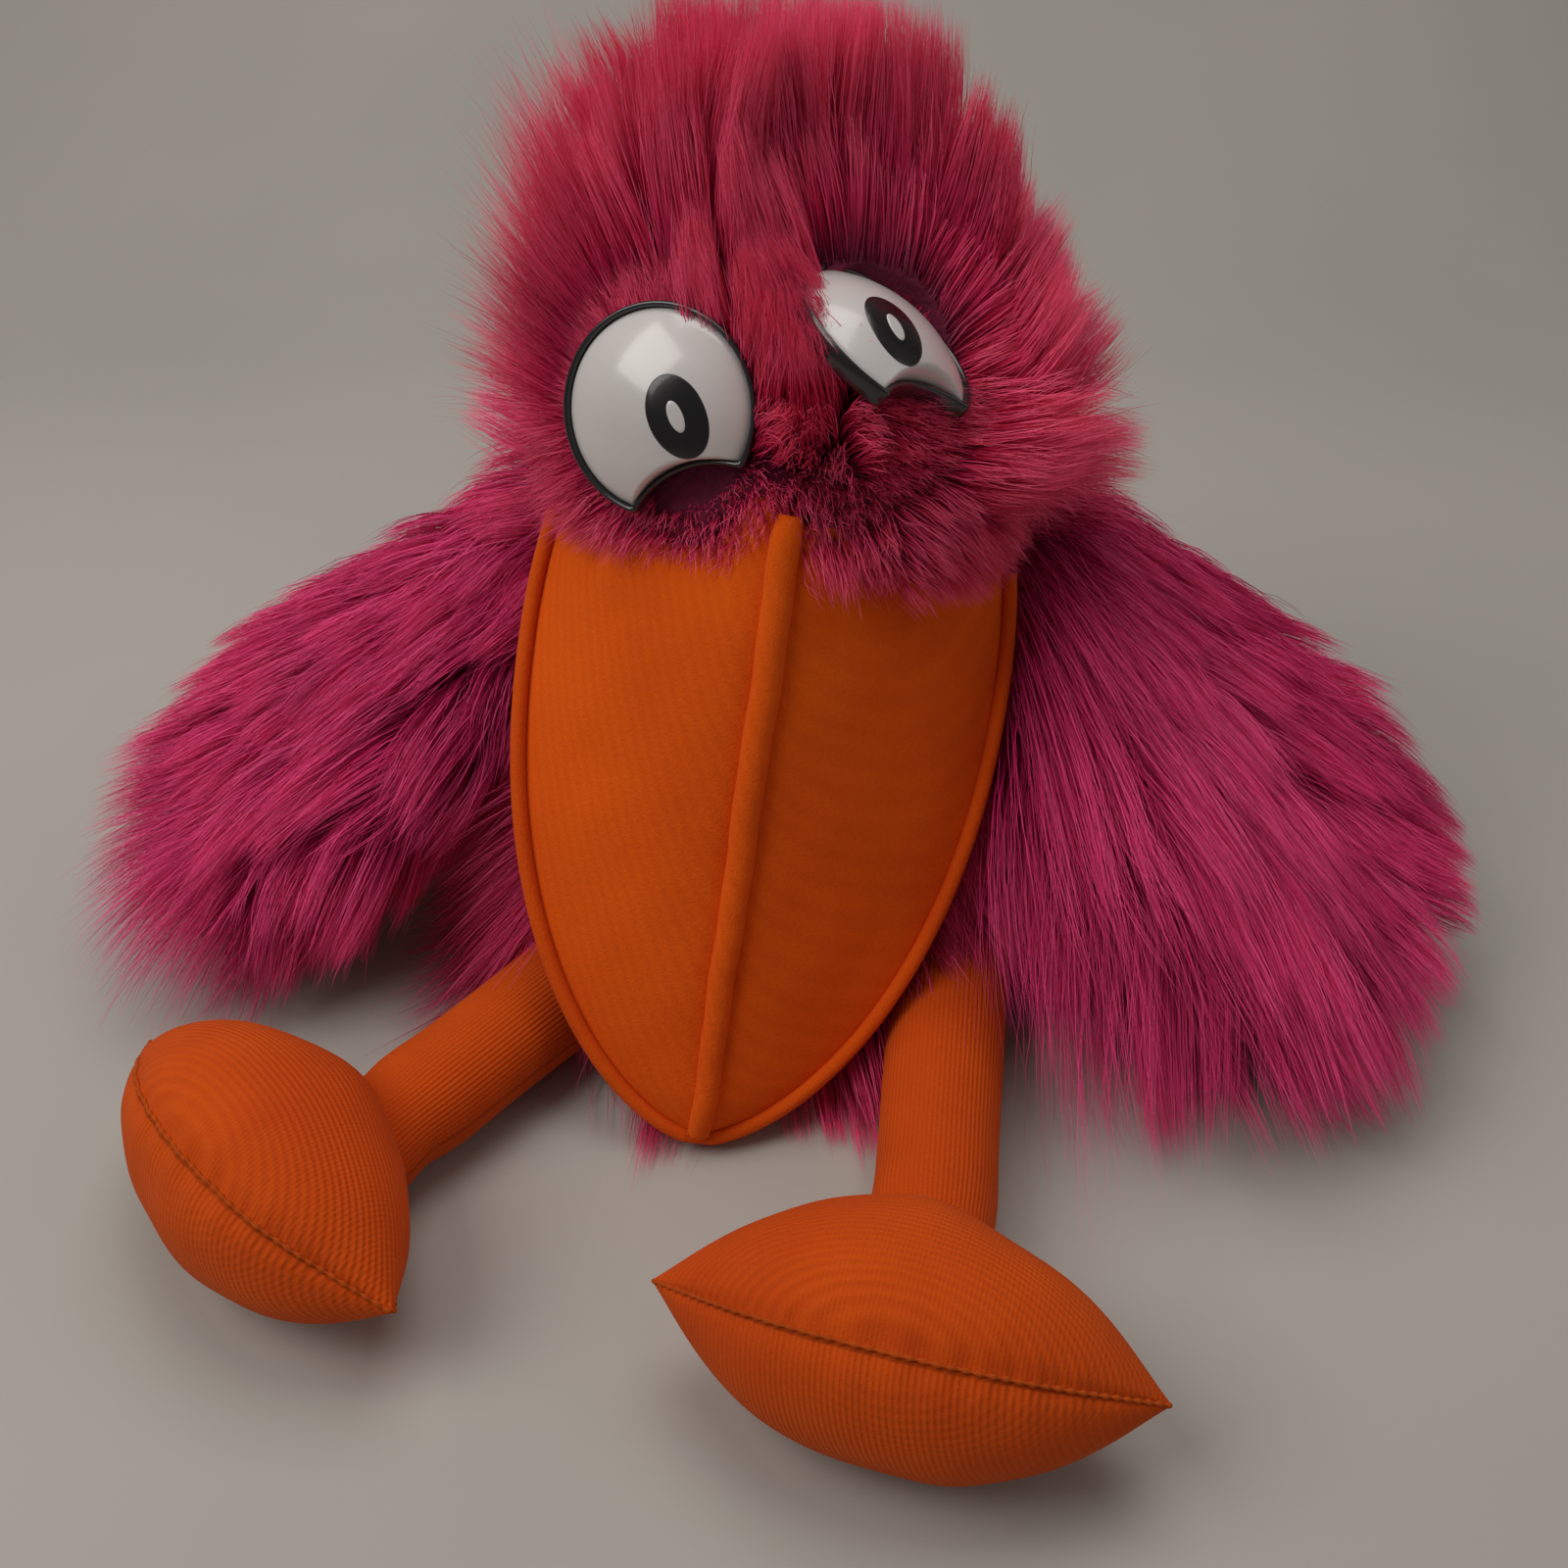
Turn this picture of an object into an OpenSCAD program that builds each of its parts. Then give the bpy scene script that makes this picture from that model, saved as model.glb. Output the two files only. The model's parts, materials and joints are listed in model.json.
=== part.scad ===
// Moving mouth puppet: a shaggy pink bird with a big orange beak.
// One closed solid per sub-part, in millimetres. X is to the right seen from
// the front, the puppet faces -Y, Z is up. The origin is the centre of the
// hand opening, on the plane the puppet sits on.

/* [Body] */
// half width of the furry body at its widest
body_rx = 88; // [70:1:110]
// how far the belly reaches forward of the hand opening at the floor
body_front = 113; // [90:1:130]
// how far the back reaches behind the hand opening
body_back = 84; // [70:1:100]
// height at which the body is cut for the head
body_top = 166; // [150:1:170]
// thickness of the dense part of the body fur
body_pile = 11; // [6:0.5:16]

/* [Hand opening] */
// radius of the knitted sleeve the hand goes into
sleeve_r = 46; // [42:0.5:50]
// length of the sleeve the hand goes into
sleeve_len = 100; // [80:1:102]
// thickness of the sleeve lining
sleeve_wall = 2; // [1:0.5:3]
// height of the elastic cuff around the opening
cuff_h = 7; // [5:1:12]

/* [Head] */
// centre of the head ball, across
head_x = 0; // [-10:0.5:10]
// centre of the head ball, front to back
head_y = -38; // [-45:0.5:-30]
// centre of the head ball, height
head_z = 168; // [160:0.5:180]
// sideways lean of the beak as the puppet sits
head_roll = 8.8; // [0:0.1:12]
// radius of the head ball over its short neck fur
ball_r = 60; // [56:0.5:64]
// thickness of the skull foam
skull_wall = 8; // [5:0.5:12]
// thickness of the short fur on the head ball
short_pile = 8; // [5:0.5:10]
// clearance between the head ball and the neck collar
ball_gap = 0.5; // [0.3:0.1:1]

/* [Beak] */
// angle of the mouth line below the horizontal
beak_pitch = 54.85; // [45:0.05:60]
// distance from the mouth hinge to the beak tip
beak_len = 202; // [180:1:210]
// distance from the mouth hinge to the root of the beak
beak_root = 27; // [24:0.5:34]
// half width of the beak at its widest
beak_w = 69; // [60:1:74]
// how much further the beak reaches on its right side, at the root
beak_lean = 4; // [0:0.5:8]
// height of the upper beak at its root
beak_h = 56; // [46:0.5:60]
// height of the upper beak at its tip
beak_tip_h = 8; // [5:0.5:14]
// depth of the lower beak at its root
jaw_h = 19; // [14:0.5:24]
// thickness of the orange beak cloth
beak_cloth = 2; // [1:0.1:3]
// radius of the raised seam down the middle of the beak
ridge_r = 4; // [2.5:0.1:5]
// radius of the piped seam around the rim of the beak
rim_r = 2.3; // [1.5:0.1:3]
// thickness of the stiff mouth plates
plate_t = 2; // [1:0.1:3]
// thickness of the mouth lining
lining_t = 1; // [0.6:0.1:2]
// gap between the closed mouth linings
mouth_gap = 0.4; // [0.3:0.1:1]

/* [Hand pockets] */
// half width of the finger pocket
finger_w = 34; // [28:0.5:38]
// depth of the finger pocket into the beak
finger_len = 80; // [60:1:84]
// height of the finger pocket
finger_h = 20; // [16:0.5:24]
// half width of the thumb loop
thumb_w = 15; // [12:0.5:18]
// height of the thumb loop
thumb_h = 19; // [14:0.5:22]

/* [Crest] */
// height of the crest above the centre of the head ball
crest_top = 104; // [90:1:115]
// half width of the crest
crest_w = 70; // [60:1:80]

/* [Eyes] */
// radius of an eye disc
eye_r = 26; // [22:0.5:30]
// height of the eye dome
eye_dome = 9; // [6:0.5:12]
// width of the black edge around an eye
eye_edge = 1.6; // [1:0.1:3]
// left eye, position from the centre of the head ball
eye_l_at = [-32.5, -47, 33];
// left eye, turn to the side, tilt up and spin
eye_l_aim = [-23, 21, 30];
// right eye, position from the centre of the head ball
eye_r_at = [26.5, -38, 48];
// right eye, turn to the side, tilt up and spin
eye_r_aim = [78, 54, -41];

/* [Wings] */
// length of a wing without its loose hair
wing_len = 176; // [150:1:200]
// half width of a wing at its widest
wing_w = 56; // [46:1:66]
// half width of a wing at the shoulder
wing_root_w = 31; // [26:1:40]
// thickness of a wing
wing_t = 22; // [14:1:26]
// left shoulder
wing_l_at = [-70, 0, 120];
// left wing, compass angle and droop
wing_l_dir = [204, 34];
// right shoulder
wing_r_at = [79, -5, 120];
// right wing, compass angle and droop
wing_r_dir = [-42, 34];

/* [Legs] */
// radius of a leg
leg_r = 18; // [16:0.5:22]
// distance from hip to ankle
leg_len = 126; // [110:1:140]
// left hip
hip_l_at = [-36, -66, 18];
// left leg, angle away from straight ahead
hip_l_turn = -38; // [-60:1:0]
// right hip
hip_r_at = [54, -85, 18];
// right leg, angle away from straight ahead
hip_r_turn = -7; // [-20:1:30]
// thickness of the knitted cover
knit_t = 1.6; // [1:0.1:3]

/* [Feet] */
// length of a foot
foot_len = 128; // [110:1:140]
// thickness of a foot
foot_d = 62; // [50:1:70]
// how far a foot is turned out from square to its leg
foot_turn = -9; // [-20:1:20]
// distance from ankle to the middle of the foot
foot_out = 36; // [30:0.5:38]
// radius of the seam around a foot
seam_r = 0.9; // [0.5:0.1:1.5]
// tilt of the seam plane
seam_tilt = 42; // [0:1:90]

/* [Hidden] */
$fn = 64;
pivot = [head_x, head_y, head_z];
root_r = ball_r + ball_gap;
dome_r = (eye_r * eye_r + eye_dome * eye_dome) / (2 * eye_dome);
arch_r = 29.2;
arch_y = -44.2;
plate_lo = mouth_gap / 2 + lining_t;
plate_hi = plate_lo + plate_t;
lens_r = (foot_len * foot_len / 4 + foot_d * foot_d / 4) / foot_d;
lens_c = lens_r - foot_d / 2;
toe_r = sqrt(lens_r * lens_r - pow(foot_len / 2 - 7, 2)) - lens_c;
pink = [0.72, 0.10, 0.36];
rose = [0.80, 0.22, 0.44];
plum = [0.55, 0.07, 0.30];
orange = [0.93, 0.38, 0.03];
amber = [0.85, 0.32, 0.03];
foam = [0.93, 0.88, 0.72];
cloth = [0.45, 0.10, 0.28];
black = [0.03, 0.03, 0.03];
white = [0.94, 0.93, 0.90];

// ---------------------------------------------------------------- shared shapes

// A closed skin through a list of rings with the same number of points.
module loft(rings) {
  n = len(rings[0]);
  m = len(rings);
  pts = [for (r = rings) for (p = r) p];
  sides = [for (i = [0:m - 2]) for (j = [0:n - 1])
    each [[i * n + j, (i + 1) * n + j, i * n + (j + 1) % n],
          [i * n + (j + 1) % n, (i + 1) * n + j, (i + 1) * n + (j + 1) % n]]];
  low = [[for (j = [0:n - 1]) j]];
  high = [[for (j = [n - 1:-1:0]) (m - 1) * n + j]];
  polyhedron(points = pts, faces = concat(low, sides, high), convexity = 8);
}

module slab(y0, y1) {
  translate([-300, y0, -300])
    cube([600, y1 - y0, 800]);
}

// ---------------------------------------------------------------- frames

module head_frame() {
  translate(pivot)
    rotate([0, head_roll, 0])
      children();
}

// In the beak frame the beak points to -Y and its ridge is towards +Z.
module beak_frame() {
  head_frame()
    rotate([beak_pitch, 0, 0])
      children();
}

module eye_frame(at, aim) {
  translate(pivot + at)
    rotate([0, 0, aim[0]])
      rotate([90 - aim[1], 0, 0])
        rotate([0, 0, aim[2]])
          children();
}

module wing_frame(at, dir) {
  translate(at)
    rotate([0, dir[1], dir[0]])
      children();
}

module leg_frame(at, turn) {
  translate(at)
    rotate([0, 0, turn])
      children();
}

module foot_frame(at, turn) {
  leg_frame(at, turn)
    translate([0, -leg_len, 0])
      rotate([0, 0, foot_turn])
        children();
}

// ---------------------------------------------------------------- body shapes

function ramp(t) = (t + sqrt(t * t + 150)) / 2;
function belly(z) = -body_front + 0.80 * ramp(z - 38) - 0.6;
function spine(z) = body_back - 22 * pow((z - 50) / 90, 2);
function girth(z) = body_rx - 13 * pow((z - 45) / 95, 2);

function body_ring(z, inset) = [for (j = [0:47])
  [(girth(z) - inset) * cos(j * 7.5),
   (belly(z) + spine(z)) / 2 + ((spine(z) - belly(z)) / 2 - inset) * sin(j * 7.5),
   z]];

module body_solid(inset, z0, z1) {
  loft([for (i = [0:18]) body_ring(z0 + (z1 - z0) * i / 18, inset)]);
}

// A wedge around the hinge line, from angle a to angle b, measured in the beak
// frame from the mouth line towards the ridge.
module wedge(a, b, r = 260) {
  k = [for (i = [0:4]) a + (b - a) * i / 4];
  rotate([90, 0, 90])
    linear_extrude(height = 400, center = true)
      polygon(concat([[0, 0]], [for (t = k) [-r * cos(t), r * sin(t)]]));
}

// Room the head needs behind the neck as it tips back.
module neck_room() {
  beak_frame()
    wedge(170, 261.8);
  beak_frame()
    wedge(90, 171);
  translate(pivot)
    sphere(r = root_r + 4, $fn = 96);
}

// Room a leg needs as it swings down from the seat.
module leg_room(at, turn) {
  leg_frame(at, turn) {
    hull() {
      sphere(r = leg_r + 0.7, $fn = 32);
      translate([0, -120, 0])
        sphere(r = leg_r + 0.7, $fn = 32);
      translate([0, -85, -85])
        sphere(r = leg_r + 0.7, $fn = 32);
      translate([0, -20, -120])
        sphere(r = leg_r + 0.7, $fn = 32);
    }
  }
}

// Room a wing needs as it flaps up.
module wing_room(at, dir) {
  translate(at)
    rotate([0, 0, dir[0]])
      hull() {
        wing_root(wing_t / 2 + 0.7, 0);
        wing_root(wing_t / 2 + 0.7, dir[1] + 2);
        wing_root(wing_t / 2 + 0.7, -46);
      }
}

module wing_root(r, tip) {
  for (s = [-1, 1]) {
    rotate([0, tip, 0])
      translate([tip == 0 ? 0 : 80, s * (tip == 0 ? wing_root_w - wing_t / 2 : 44.2), 0])
        sphere(r = r, $fn = 32);
  }
}

module body_rooms() {
  neck_room();
  leg_room(hip_l_at, hip_l_turn);
  leg_room(hip_r_at, hip_r_turn);
  wing_room(wing_l_at, wing_l_dir);
  wing_room(wing_r_at, wing_r_dir);
}

module sleeve_tube(r0, r1, z0, z1) {
  difference() {
    translate([0, 0, z0])
      cylinder(r = r1, h = z1 - z0, $fn = 96);
    translate([0, 0, z0 - 1])
      cylinder(r = r0, h = z1 - z0 + 2, $fn = 96);
  }
}

module sleeve_core(r) {
  translate([0, 0, -1])
    cylinder(r = r, h = 200, $fn = 96);
}

// ---------------------------------------------------------------- body

module sleeve_lining() {
  color(cloth)
    difference() {
      sleeve_tube(sleeve_r, sleeve_r + sleeve_wall, 0, sleeve_len);
      neck_room();
    }
}

module hem_cuff() {
  color(plum)
    sleeve_tube(sleeve_r + sleeve_wall, sleeve_r + sleeve_wall + 5, 0, cuff_h);
}

module body_padding() {
  color(foam)
    difference() {
      intersection() {
        body_solid(body_pile, -1, body_top + 1);
        translate([-200, -200, 0])
          cube([400, 400, body_top]);
      }
      body_rooms();
      sleeve_core(sleeve_r + sleeve_wall);
      translate([0, 0, -1])
        cylinder(r = sleeve_r + sleeve_wall + 5, h = cuff_h + 1, $fn = 96);
    }
}

module body_fur() {
  difference() {
    body_solid(0, 0, body_top);
    body_solid(body_pile, -1, body_top + 1);
    body_rooms();
    sleeve_core(sleeve_r + sleeve_wall);
  }
}

module body_fur_front() {
  color(pink)
    intersection() {
      body_fur();
      slab(-300, -4);
    }
}

module body_fur_back() {
  color(plum)
    intersection() {
      body_fur();
      slab(-4, 300);
    }
}

module neck_collar() {
  color(rose)
    difference() {
      intersection() {
        translate(pivot)
          sphere(r = root_r + 4, $fn = 96);
        beak_frame()
          wedge(261.8, 329.8);
      }
      translate(pivot)
        sphere(r = root_r, $fn = 96);
      sleeve_core(sleeve_r + sleeve_wall);
    }
}

// ---------------------------------------------------------------- beak shapes

function beak_half(u) = u < 60
  ? beak_w - 3 * pow((60 - u) / 34, 2)
  : beak_w * pow(max(0, 1 - pow((u - 60) / (beak_len - 60), 2.2)), 0.62);
function beak_skew(u) = beak_lean * (1 - u / beak_len);
function ease(u) = pow((beak_len + 1 - u) / (beak_len - beak_root), 1.05);
function cap_off(u) = sqrt(max(0.04, 1 - pow(max(0, (u - beak_len + 14) / 15), 2)));
function ridge_top(u) = (beak_tip_h + (beak_h - beak_tip_h) * max(0, ease(u))) * cap_off(u);
function jaw_deep(u) = (6 + (jaw_h - 6) * max(0, ease(u))) * cap_off(u);
function along(i, n) = beak_root + (beak_len - 0.6 - beak_root) * sin(90 * i / n);

function dome_ring(u, w, h) =
  [for (j = [0:16]) let (c = cos(j * 11.25))
    [w * c + beak_skew(u) * abs(c), -u, plate_lo + h * (1 - pow(abs(c), 1.7))]];

// A dome over the mouth line: s is +1 for the upper beak and -1 for the jaw.
module beak_dome(inset, root_back, s) {
  n = 20;
  tip = beak_len - 0.6 - inset;
  rings = [for (i = [0:n])
    let (u = beak_root - root_back + (tip - beak_root + root_back) * sin(90 * i / n),
         w = max(1, beak_half(u) - inset),
         h = max(1, (s > 0 ? ridge_top(u) : jaw_deep(u)) - inset - plate_lo))
    dome_ring(u, w, h)];
  if (s > 0) {
    loft(rings);
  } else {
    mirror([0, 0, 1])
      loft(rings);
  }
}

// Everything behind the root of the beak.
module root_cut() {
  translate([-150, -beak_root, -100])
    cube([300, 100, 200]);
}

module beak_outline(inset) {
  n = 26;
  side = [for (i = [0:n]) let (u = along(i, n))
    [max(0.5, beak_half(u) + beak_skew(u) - inset), -u + inset * i / n]];
  back = [for (i = [n:-1:0]) let (u = along(i, n))
    [-max(0.5, beak_half(u) - beak_skew(u) - inset), -u + inset * i / n]];
  polygon(concat([[side[0][0], -6]], side, back, [[back[n][0], -6]]));
}

function rim_side(k, s) = let (u = along(k, 34)) [beak_half(u) + s * beak_skew(u), -u];
function rim_dir(k, s) = let (d = rim_side(min(34, k + 1), s) - rim_side(max(0, k - 1), s)) d / norm(d);
function rim_at(k, s) = rim_side(k, s) + (rim_r + 0.15) * [-rim_dir(k, s)[1], rim_dir(k, s)[0]];
function flip(p) = [-p[0], p[1]];

// A piped seam around the rim, on the side s of the mouth line.
module rim_tube(s) {
  path = concat([for (k = [0:34]) rim_at(k, 1)], [for (k = [34:-1:0]) flip(rim_at(k, -1))]);
  m = len(path);
  z = s * (mouth_gap / 2 + rim_r);
  rings = [for (i = [0:m - 1])
    let (a = path[max(0, i - 1)],
         b = path[min(m - 1, i + 1)],
         d = (b - a) / norm(b - a))
    [for (j = [0:9]) [path[i][0] - d[1] * rim_r * cos(j * 36), path[i][1] + d[0] * rim_r * cos(j * 36),
                      z + rim_r * sin(j * 36)]]];
  loft(rings);
}

// The raised seam down the middle, lying on the upper beak.
module ridge_tube() {
  n = 26;
  rings = [for (i = [0:n])
    let (u = along(i, n),
         r = ridge_r * (i < 1 ? 0.85 : 1) * (1 - 0.25 * i / n),
         v = ridge_top(u) + r * 0.6 + 0.1)
    [for (j = [0:11]) [r * cos(j * 30), -u, v + 0.6 * r * sin(j * 30)]]];
  loft(rings);
}

module plate_slab(inset, v0, t) {
  translate([0, 0, v0])
    linear_extrude(height = t)
      beak_outline(inset);
}

module finger_room(grow) {
  translate([-finger_w - grow, -finger_len - grow, plate_hi])
    cube([2 * (finger_w + grow), finger_len + grow - 8, finger_h + grow]);
}

module thumb_room(grow) {
  translate([-thumb_w - grow, -46, -plate_hi - thumb_h - grow])
    cube([2 * (thumb_w + grow), 36, thumb_h + grow]);
}

// ---------------------------------------------------------------- jaw

module ball_shell(r0, r1) {
  difference() {
    sphere(r = r1, $fn = 96);
    sphere(r = r0, $fn = 96);
  }
}

module throat_foam() {
  color(foam)
    beak_frame()
      difference() {
        intersection() {
          ball_shell(ball_r - short_pile - skull_wall, ball_r - short_pile);
          wedge(-28.2, -0.5);
        }
        beak_dome(0, 0, -1);
        plate_slab(3, -plate_hi, plate_hi);
        thumb_room(1.2);
      }
}

module throat_fur() {
  color(pink)
    beak_frame()
      difference() {
        intersection() {
          ball_shell(ball_r - short_pile, ball_r);
          wedge(-28.2, -0.5);
        }
        beak_dome(0, 0, -1);
        plate_slab(3, -plate_hi, plate_hi);
        thumb_room(1.2);
      }
}

module mouth_fold() {
  color(amber)
    beak_frame()
      rotate([0, 90, 0])
        cylinder(r = 3.2, h = 84, center = true);
}

module jaw_plate() {
  color(black)
    beak_frame()
      plate_slab(3, -plate_hi, plate_t);
}

module jaw_lining() {
  color(amber)
    beak_frame()
      plate_slab(3, -plate_lo, lining_t);
}

module jaw_foam() {
  color(foam)
    beak_frame()
      difference() {
        beak_dome(beak_cloth, 3, -1);
        root_cut();
        translate([0, 0, -plate_hi])
          linear_extrude(height = 30)
            square([400, 900], center = true);
        thumb_room(1.2);
      }
}

module jaw_cover() {
  color(orange)
    beak_frame()
      difference() {
        beak_dome(0, 0, -1);
        beak_dome(beak_cloth, 3, -1);
        plate_slab(3, -plate_hi, plate_hi);
        thumb_room(1.2);
      }
}

module jaw_rim() {
  color(amber)
    beak_frame()
      rim_tube(-1);
}

module thumb_loop() {
  color(cloth)
    beak_frame()
      difference() {
        thumb_room(1.2);
        translate([0, 10, 0])
          thumb_room(0);
        translate([0, -10, 0])
          thumb_room(0);
      }
}

// ---------------------------------------------------------------- head

module head_cut() {
  beak_dome(0, 0, 1);
  plate_slab(3, 0, plate_hi);
  finger_room(1.2);
  wedge(253.6, 360.5);
}

module eye_rooms() {
  eye_frame(eye_l_at, eye_l_aim)
    eye_room();
  eye_frame(eye_r_at, eye_r_aim)
    eye_room();
}

module eye_room() {
  translate([0, 0, -4])
    cylinder(r = eye_r + eye_edge, h = 60);
  translate([0, 0, -40])
    cylinder(r = 3.5, h = 40);
  translate([0, 0, -40])
    cylinder(r = 9, h = 18);
}

module skull_foam() {
  color(foam)
    difference() {
      beak_frame()
        difference() {
          ball_shell(ball_r - short_pile - skull_wall, ball_r - short_pile);
          head_cut();
        }
      eye_rooms();
    }
}

module head_fur() {
  color(pink)
    difference() {
      beak_frame()
        difference() {
          ball_shell(ball_r - short_pile, ball_r);
          head_cut();
        }
      eye_rooms();
    }
}

module crest_fur() {
  color(rose)
    difference() {
      translate(pivot)
        hull() {
          translate([0, -2, 6])
            sphere(r = 66, $fn = 48);
          translate([-crest_w + 34, 4, 50])
            sphere(r = 34, $fn = 32);
          translate([crest_w - 34, 4, 50])
            sphere(r = 34, $fn = 32);
          translate([0, 0, crest_top - 38])
            sphere(r = 38, $fn = 32);
        }
      translate(pivot)
        sphere(r = ball_r, $fn = 96);
      beak_frame() {
        head_cut();
        translate([-ridge_r - 0.4, -64, 40])
          cube([2 * ridge_r + 0.8, 40, 24]);
        wedge(195, 256);
        wedge(300, 394);
      }
      eye_rooms();
    }
}

module palate_plate() {
  color(black)
    beak_frame()
      plate_slab(3, plate_lo, plate_t);
}

module palate_lining() {
  color(amber)
    beak_frame()
      plate_slab(3, mouth_gap / 2, lining_t);
}

module beak_foam() {
  color(foam)
    beak_frame()
      difference() {
        beak_dome(beak_cloth, 3, 1);
        root_cut();
        translate([0, 0, plate_hi - 30])
          linear_extrude(height = 30)
            square([400, 900], center = true);
        finger_room(1.2);
        sphere(r = ball_r - short_pile - skull_wall, $fn = 96);
      }
}

module beak_skin() {
  difference() {
    beak_dome(0, 0, 1);
    beak_dome(beak_cloth, 3, 1);
    plate_slab(3, 0, plate_hi);
    finger_room(1.2);
    sphere(r = ball_r - short_pile - skull_wall, $fn = 96);
  }
}

module beak_cover_left() {
  color(orange)
    beak_frame()
      intersection() {
        beak_skin();
        translate([-200, -300, -10])
          cube([200, 320, 120]);
      }
}

module beak_cover_right() {
  color(amber)
    beak_frame()
      intersection() {
        beak_skin();
        translate([0, -300, -10])
          cube([200, 320, 120]);
      }
}

module beak_ridge() {
  color(orange)
    beak_frame()
      ridge_tube();
}

module beak_rim() {
  color(amber)
    beak_frame()
      rim_tube(1);
}

module finger_pocket() {
  color(cloth)
    beak_frame()
      difference() {
        finger_room(1.2);
        translate([0, 10, 0])
          finger_room(0);
        finger_room(0);
        sphere(r = 30, $fn = 96);
      }
}

// ---------------------------------------------------------------- eyes

module eye_profile(grow) {
  difference() {
    circle(r = eye_r + grow, $fn = 96);
    translate([0, arch_y])
      circle(r = arch_r - grow, $fn = 96);
  }
}

module eye_dome_solid(grow) {
  translate([0, 0, eye_dome - dome_r])
    sphere(r = dome_r + grow, $fn = 96);
}

module eye_shell() {
  intersection() {
    translate([0, 0, -1])
      linear_extrude(height = 30)
        eye_profile(0);
    eye_dome_solid(0);
  }
}

module eye_edge_ring() {
  difference() {
    translate([0, 0, -4])
      linear_extrude(height = 5)
        eye_profile(eye_edge);
    translate([0, 0, -1])
      linear_extrude(height = 30)
        eye_profile(0);
  }
}

module eye_oval(x, rx, ry, h0, h1) {
  difference() {
    intersection() {
      translate([x, -4.4, 0])
        scale([rx / ry, 1, 1])
          cylinder(r = ry, h = 30, $fn = 48);
      eye_dome_solid(h1);
    }
    eye_dome_solid(h0);
  }
}

module eye_post() {
  translate([0, 0, -22])
    cylinder(r = 3.5, h = 18);
}

module eye_washer() {
  translate([0, 0, -25])
    cylinder(r = 9, h = 3);
}

module eye_left_shell() {
  color(white)
    eye_frame(eye_l_at, eye_l_aim)
      eye_shell();
}

module eye_left_edge() {
  color(black)
    eye_frame(eye_l_at, eye_l_aim)
      eye_edge_ring();
}

module eye_left_pupil() {
  color(black)
    eye_frame(eye_l_at, eye_l_aim)
      eye_oval(7.5, 7.5, 11, 0.05, 0.3);
}

module eye_left_glint() {
  color(white)
    eye_frame(eye_l_at, eye_l_aim)
      eye_oval(7.5, 1.9, 4.2, 0.35, 0.5);
}

module eye_left_post() {
  color(black)
    eye_frame(eye_l_at, eye_l_aim)
      eye_post();
}

module eye_left_washer() {
  color(white)
    eye_frame(eye_l_at, eye_l_aim)
      eye_washer();
}

module eye_right_shell() {
  color(white)
    eye_frame(eye_r_at, eye_r_aim)
      eye_shell();
}

module eye_right_edge() {
  color(black)
    eye_frame(eye_r_at, eye_r_aim)
      eye_edge_ring();
}

module eye_right_pupil() {
  color(black)
    eye_frame(eye_r_at, eye_r_aim)
      eye_oval(-7.5, 7.5, 11, 0.05, 0.3);
}

module eye_right_glint() {
  color(white)
    eye_frame(eye_r_at, eye_r_aim)
      eye_oval(-7.5, 1.9, 4.2, 0.35, 0.5);
}

module eye_right_post() {
  color(black)
    eye_frame(eye_r_at, eye_r_aim)
      eye_post();
}

module eye_right_washer() {
  color(white)
    eye_frame(eye_r_at, eye_r_aim)
      eye_washer();
}

// ---------------------------------------------------------------- wings

module wing_solid(inset) {
  r = wing_t / 2 - inset;
  hull() {
    for (s = [-1, 1]) {
      translate([0, s * (wing_root_w - wing_t / 2), 0])
        sphere(r = r, $fn = 32);
    }
    for (y = [-1, 1]) {
      translate([wing_len * 0.52, y * (wing_w - wing_t / 2), 0])
        sphere(r = r, $fn = 32);
      translate([wing_len - wing_t, y * (wing_w - wing_t / 2) * 0.62, 0])
        sphere(r = r * 0.9, $fn = 32);
    }
  }
}

module wing_half(s) {
  difference() {
    intersection() {
      wing_solid(0);
      translate([-50, -100, s > 0 ? 0 : -40])
        cube([300, 200, 40]);
    }
    wing_solid(wing_t / 2 - 2.5);
  }
}

module wing_left_fur() {
  color(pink)
    wing_frame(wing_l_at, wing_l_dir)
      wing_half(1);
}

module wing_left_lining() {
  color(plum)
    wing_frame(wing_l_at, wing_l_dir)
      wing_half(-1);
}

module wing_left_stuffing() {
  color(foam)
    wing_frame(wing_l_at, wing_l_dir)
      wing_solid(wing_t / 2 - 2.5);
}

module wing_right_fur() {
  color(pink)
    wing_frame(wing_r_at, wing_r_dir)
      wing_half(1);
}

module wing_right_lining() {
  color(plum)
    wing_frame(wing_r_at, wing_r_dir)
      wing_half(-1);
}

module wing_right_stuffing() {
  color(foam)
    wing_frame(wing_r_at, wing_r_dir)
      wing_solid(wing_t / 2 - 2.5);
}

// ---------------------------------------------------------------- legs

// A leg: round at the hip, straight, round at the ankle.
module leg_solid(r) {
  rotate([90, 0, 0])
    rotate_extrude(angle = 360, $fn = 64)
      difference() {
        union() {
          translate([0, 0])
            square([r, leg_len]);
          circle(r = r, $fn = 64);
          translate([0, leg_len])
            circle(r = r, $fn = 64);
        }
        translate([-100, -100])
          square([100, 400]);
      }
}

module leg_cover() {
  difference() {
    leg_solid(leg_r);
    leg_solid(leg_r - knit_t);
  }
}

module leg_left_cover() {
  color(orange)
    leg_frame(hip_l_at, hip_l_turn)
      leg_cover();
}

module leg_left_stuffing() {
  color(foam)
    leg_frame(hip_l_at, hip_l_turn)
      leg_solid(leg_r - knit_t);
}

module leg_right_cover() {
  color(orange)
    leg_frame(hip_r_at, hip_r_turn)
      leg_cover();
}

module leg_right_stuffing() {
  color(foam)
    leg_frame(hip_r_at, hip_r_turn)
      leg_solid(leg_r - knit_t);
}

// ---------------------------------------------------------------- feet

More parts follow.
